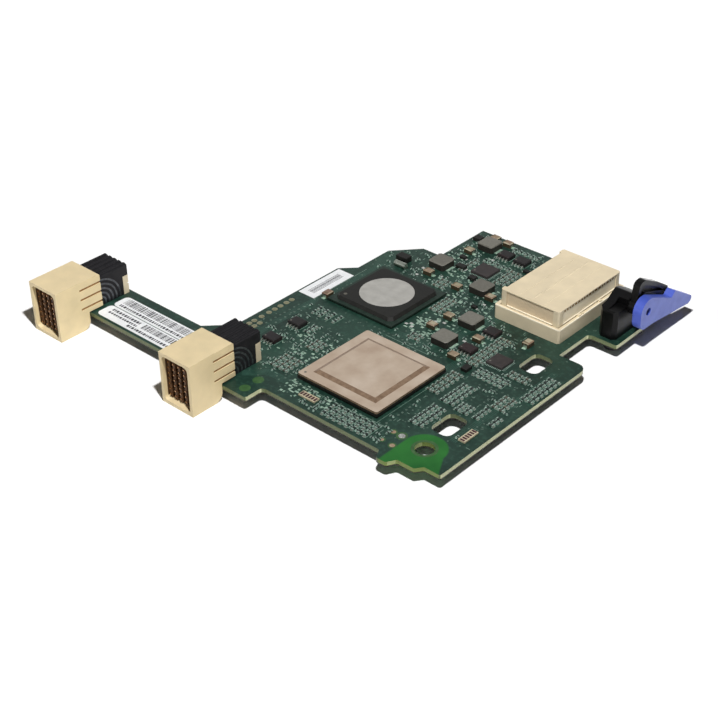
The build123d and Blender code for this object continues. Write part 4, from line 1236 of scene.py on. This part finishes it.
def even_out(lamp):
    """Let a lamp light a level floor evenly: no loss with distance, and more towards its sides."""
    tree = Nodes(lamp.data)
    downwards = tree.math("ABSOLUTE", tree.part(tree.node("TexCoord").outputs["Normal"], "Z"))
    share = tree.math("DIVIDE", 1.0, tree.math("MAXIMUM", downwards, 0.4))
    falloff = tree.node("LightFalloff", {"Strength": share})
    tree.feed(falloff.outputs["Constant"], tree.nodes["Emission"].inputs["Strength"])


KEY_AT = (53.0, -72.0, 315.0)            # mm, from the shadows of both headers and the board's edges
KEY_LEVEL = 1.0
KEY_RADIUS = 0.009                       # in metres: small, for the photograph's crisp shadows
FILL_LEVEL = 0.04
FILL_SIZE = 0.2
WARM_ROOM = (1.0, 0.9, 0.79, 1.0)
WHITE = (1.0, 1.0, 1.0, 1.0)
FLOOR_TONE = (0.98, 0.98, 0.98, 1.0)
CARD_ZONES = ((-161.0, -19.0, -74.0, 12.0), (-96.0, 0.0, 6.0, 118.4))   # the arm and the board, in mm
FADE = (14, 34)                          # where the floor turns plain white, in mm out from the card


def make_lamps():
    """A small key lamp over the front right corner, and a weak broad one beside the camera."""
    below_key = at(KEY_AT[0], KEY_AT[1])
    even_out(make_lamp("key", "POINT", at(*KEY_AT), below_key, 4 * math.pi ** 2 * KEY_LEVEL, KEY_RADIUS))
    place, middle = at(*CAMERA_AT) + Vector((-0.03, -0.06, 0.0)), at(-60.0, 45.0)
    make_lamp("fill", "AREA", place, middle, (math.pi * (place - middle).length) ** 2 * FILL_LEVEL, FILL_SIZE)


def make_world():
    """A white room, seen by the camera, metal and gloss; as a light it is a low band with a dim ceiling."""
    world = bpy.data.worlds.new("room")
    bpy.context.scene.world = world
    tree = Nodes(world)

    def blend(share, first, second):
        """Mix two levels."""
        return tree.node("Mix", {"Factor": share, "A": first, "B": second}).outputs[0]

    height = tree.part(tree.node("TexCoord").outputs["Generated"], "Z")
    rays = tree.node("LightPath").outputs
    gloss = tree.math("MAXIMUM", rays["Is Glossy Ray"], rays["Is Transmission Ray"])
    light = tree.span(height, 0.04, 0.3, 0.4, 0.03, "SMOOTHSTEP")
    mirrored = tree.span(height, 0.2, 0.5, 1.0, 0.35, "SMOOTHSTEP")
    level = blend(rays["Is Camera Ray"], blend(gloss, light, mirrored), 1.0)
    plain = tree.math("MAXIMUM", rays["Is Camera Ray"], gloss)
    background = tree.nodes["Background"].inputs
    tree.feed(tree.mix(plain, WARM_ROOM, WHITE), background["Color"])
    tree.feed(level, background["Strength"])


def make_floor():
    """A pale floor that keeps the card's shadow and turns plain white a little way out from the card."""
    mesh = bpy.data.meshes.new("floor")
    reach = 3.0
    mesh.from_pydata([(-reach, -reach, 0), (reach, -reach, 0), (reach, reach, 0), (-reach, reach, 0)], [],
                     [(0, 1, 2, 3)])
    floor = bpy.data.objects.new("floor", mesh)
    bpy.context.scene.collection.objects.link(floor)
    floor.location.z = -0.0001
    finish = Finish("pale_floor", 0.9, gloss=0.1)

    def vector(operation, *values):
        return finish.node("VectorMath", values, operation=operation).outputs

    def away(zone):
        """The distance of a floor point from a rectangle."""
        low, high = at(*zone[:2]), at(*zone[2:])
        middle, half = (low + high) / 2, (high - low) / 2
        aside = vector("ABSOLUTE", vector("SUBTRACT", finish.place, (middle.x, middle.y, 0))[0])[0]
        outside = vector("MAXIMUM", vector("SUBTRACT", aside, (half.x, half.y, 0))[0])[0]
        return vector("LENGTH", outside)["Value"]

    distance = finish.math("MINIMUM", *[away(zone) for zone in CARD_ZONES])
    plain = finish.span(distance, FADE[0] * MM, FADE[1] * MM, 0.0, 1.0, "SMOOTHSTEP")
    rays = finish.node("LightPath").outputs
    seen = finish.math("MAXIMUM", rays["Is Camera Ray"], rays["Is Glossy Ray"])
    finish.shader["Base Color"].default_value = FLOOR_TONE
    finish.shader["Emission Color"].default_value = WHITE
    finish.feed(finish.math("MULTIPLY", seen, plain), finish.shader["Emission Strength"])
    mesh.materials.append(finish.material)


make_camera()
make_lamps()
make_world()
make_floor()

bpy.context.scene.view_settings.view_transform = "Standard"
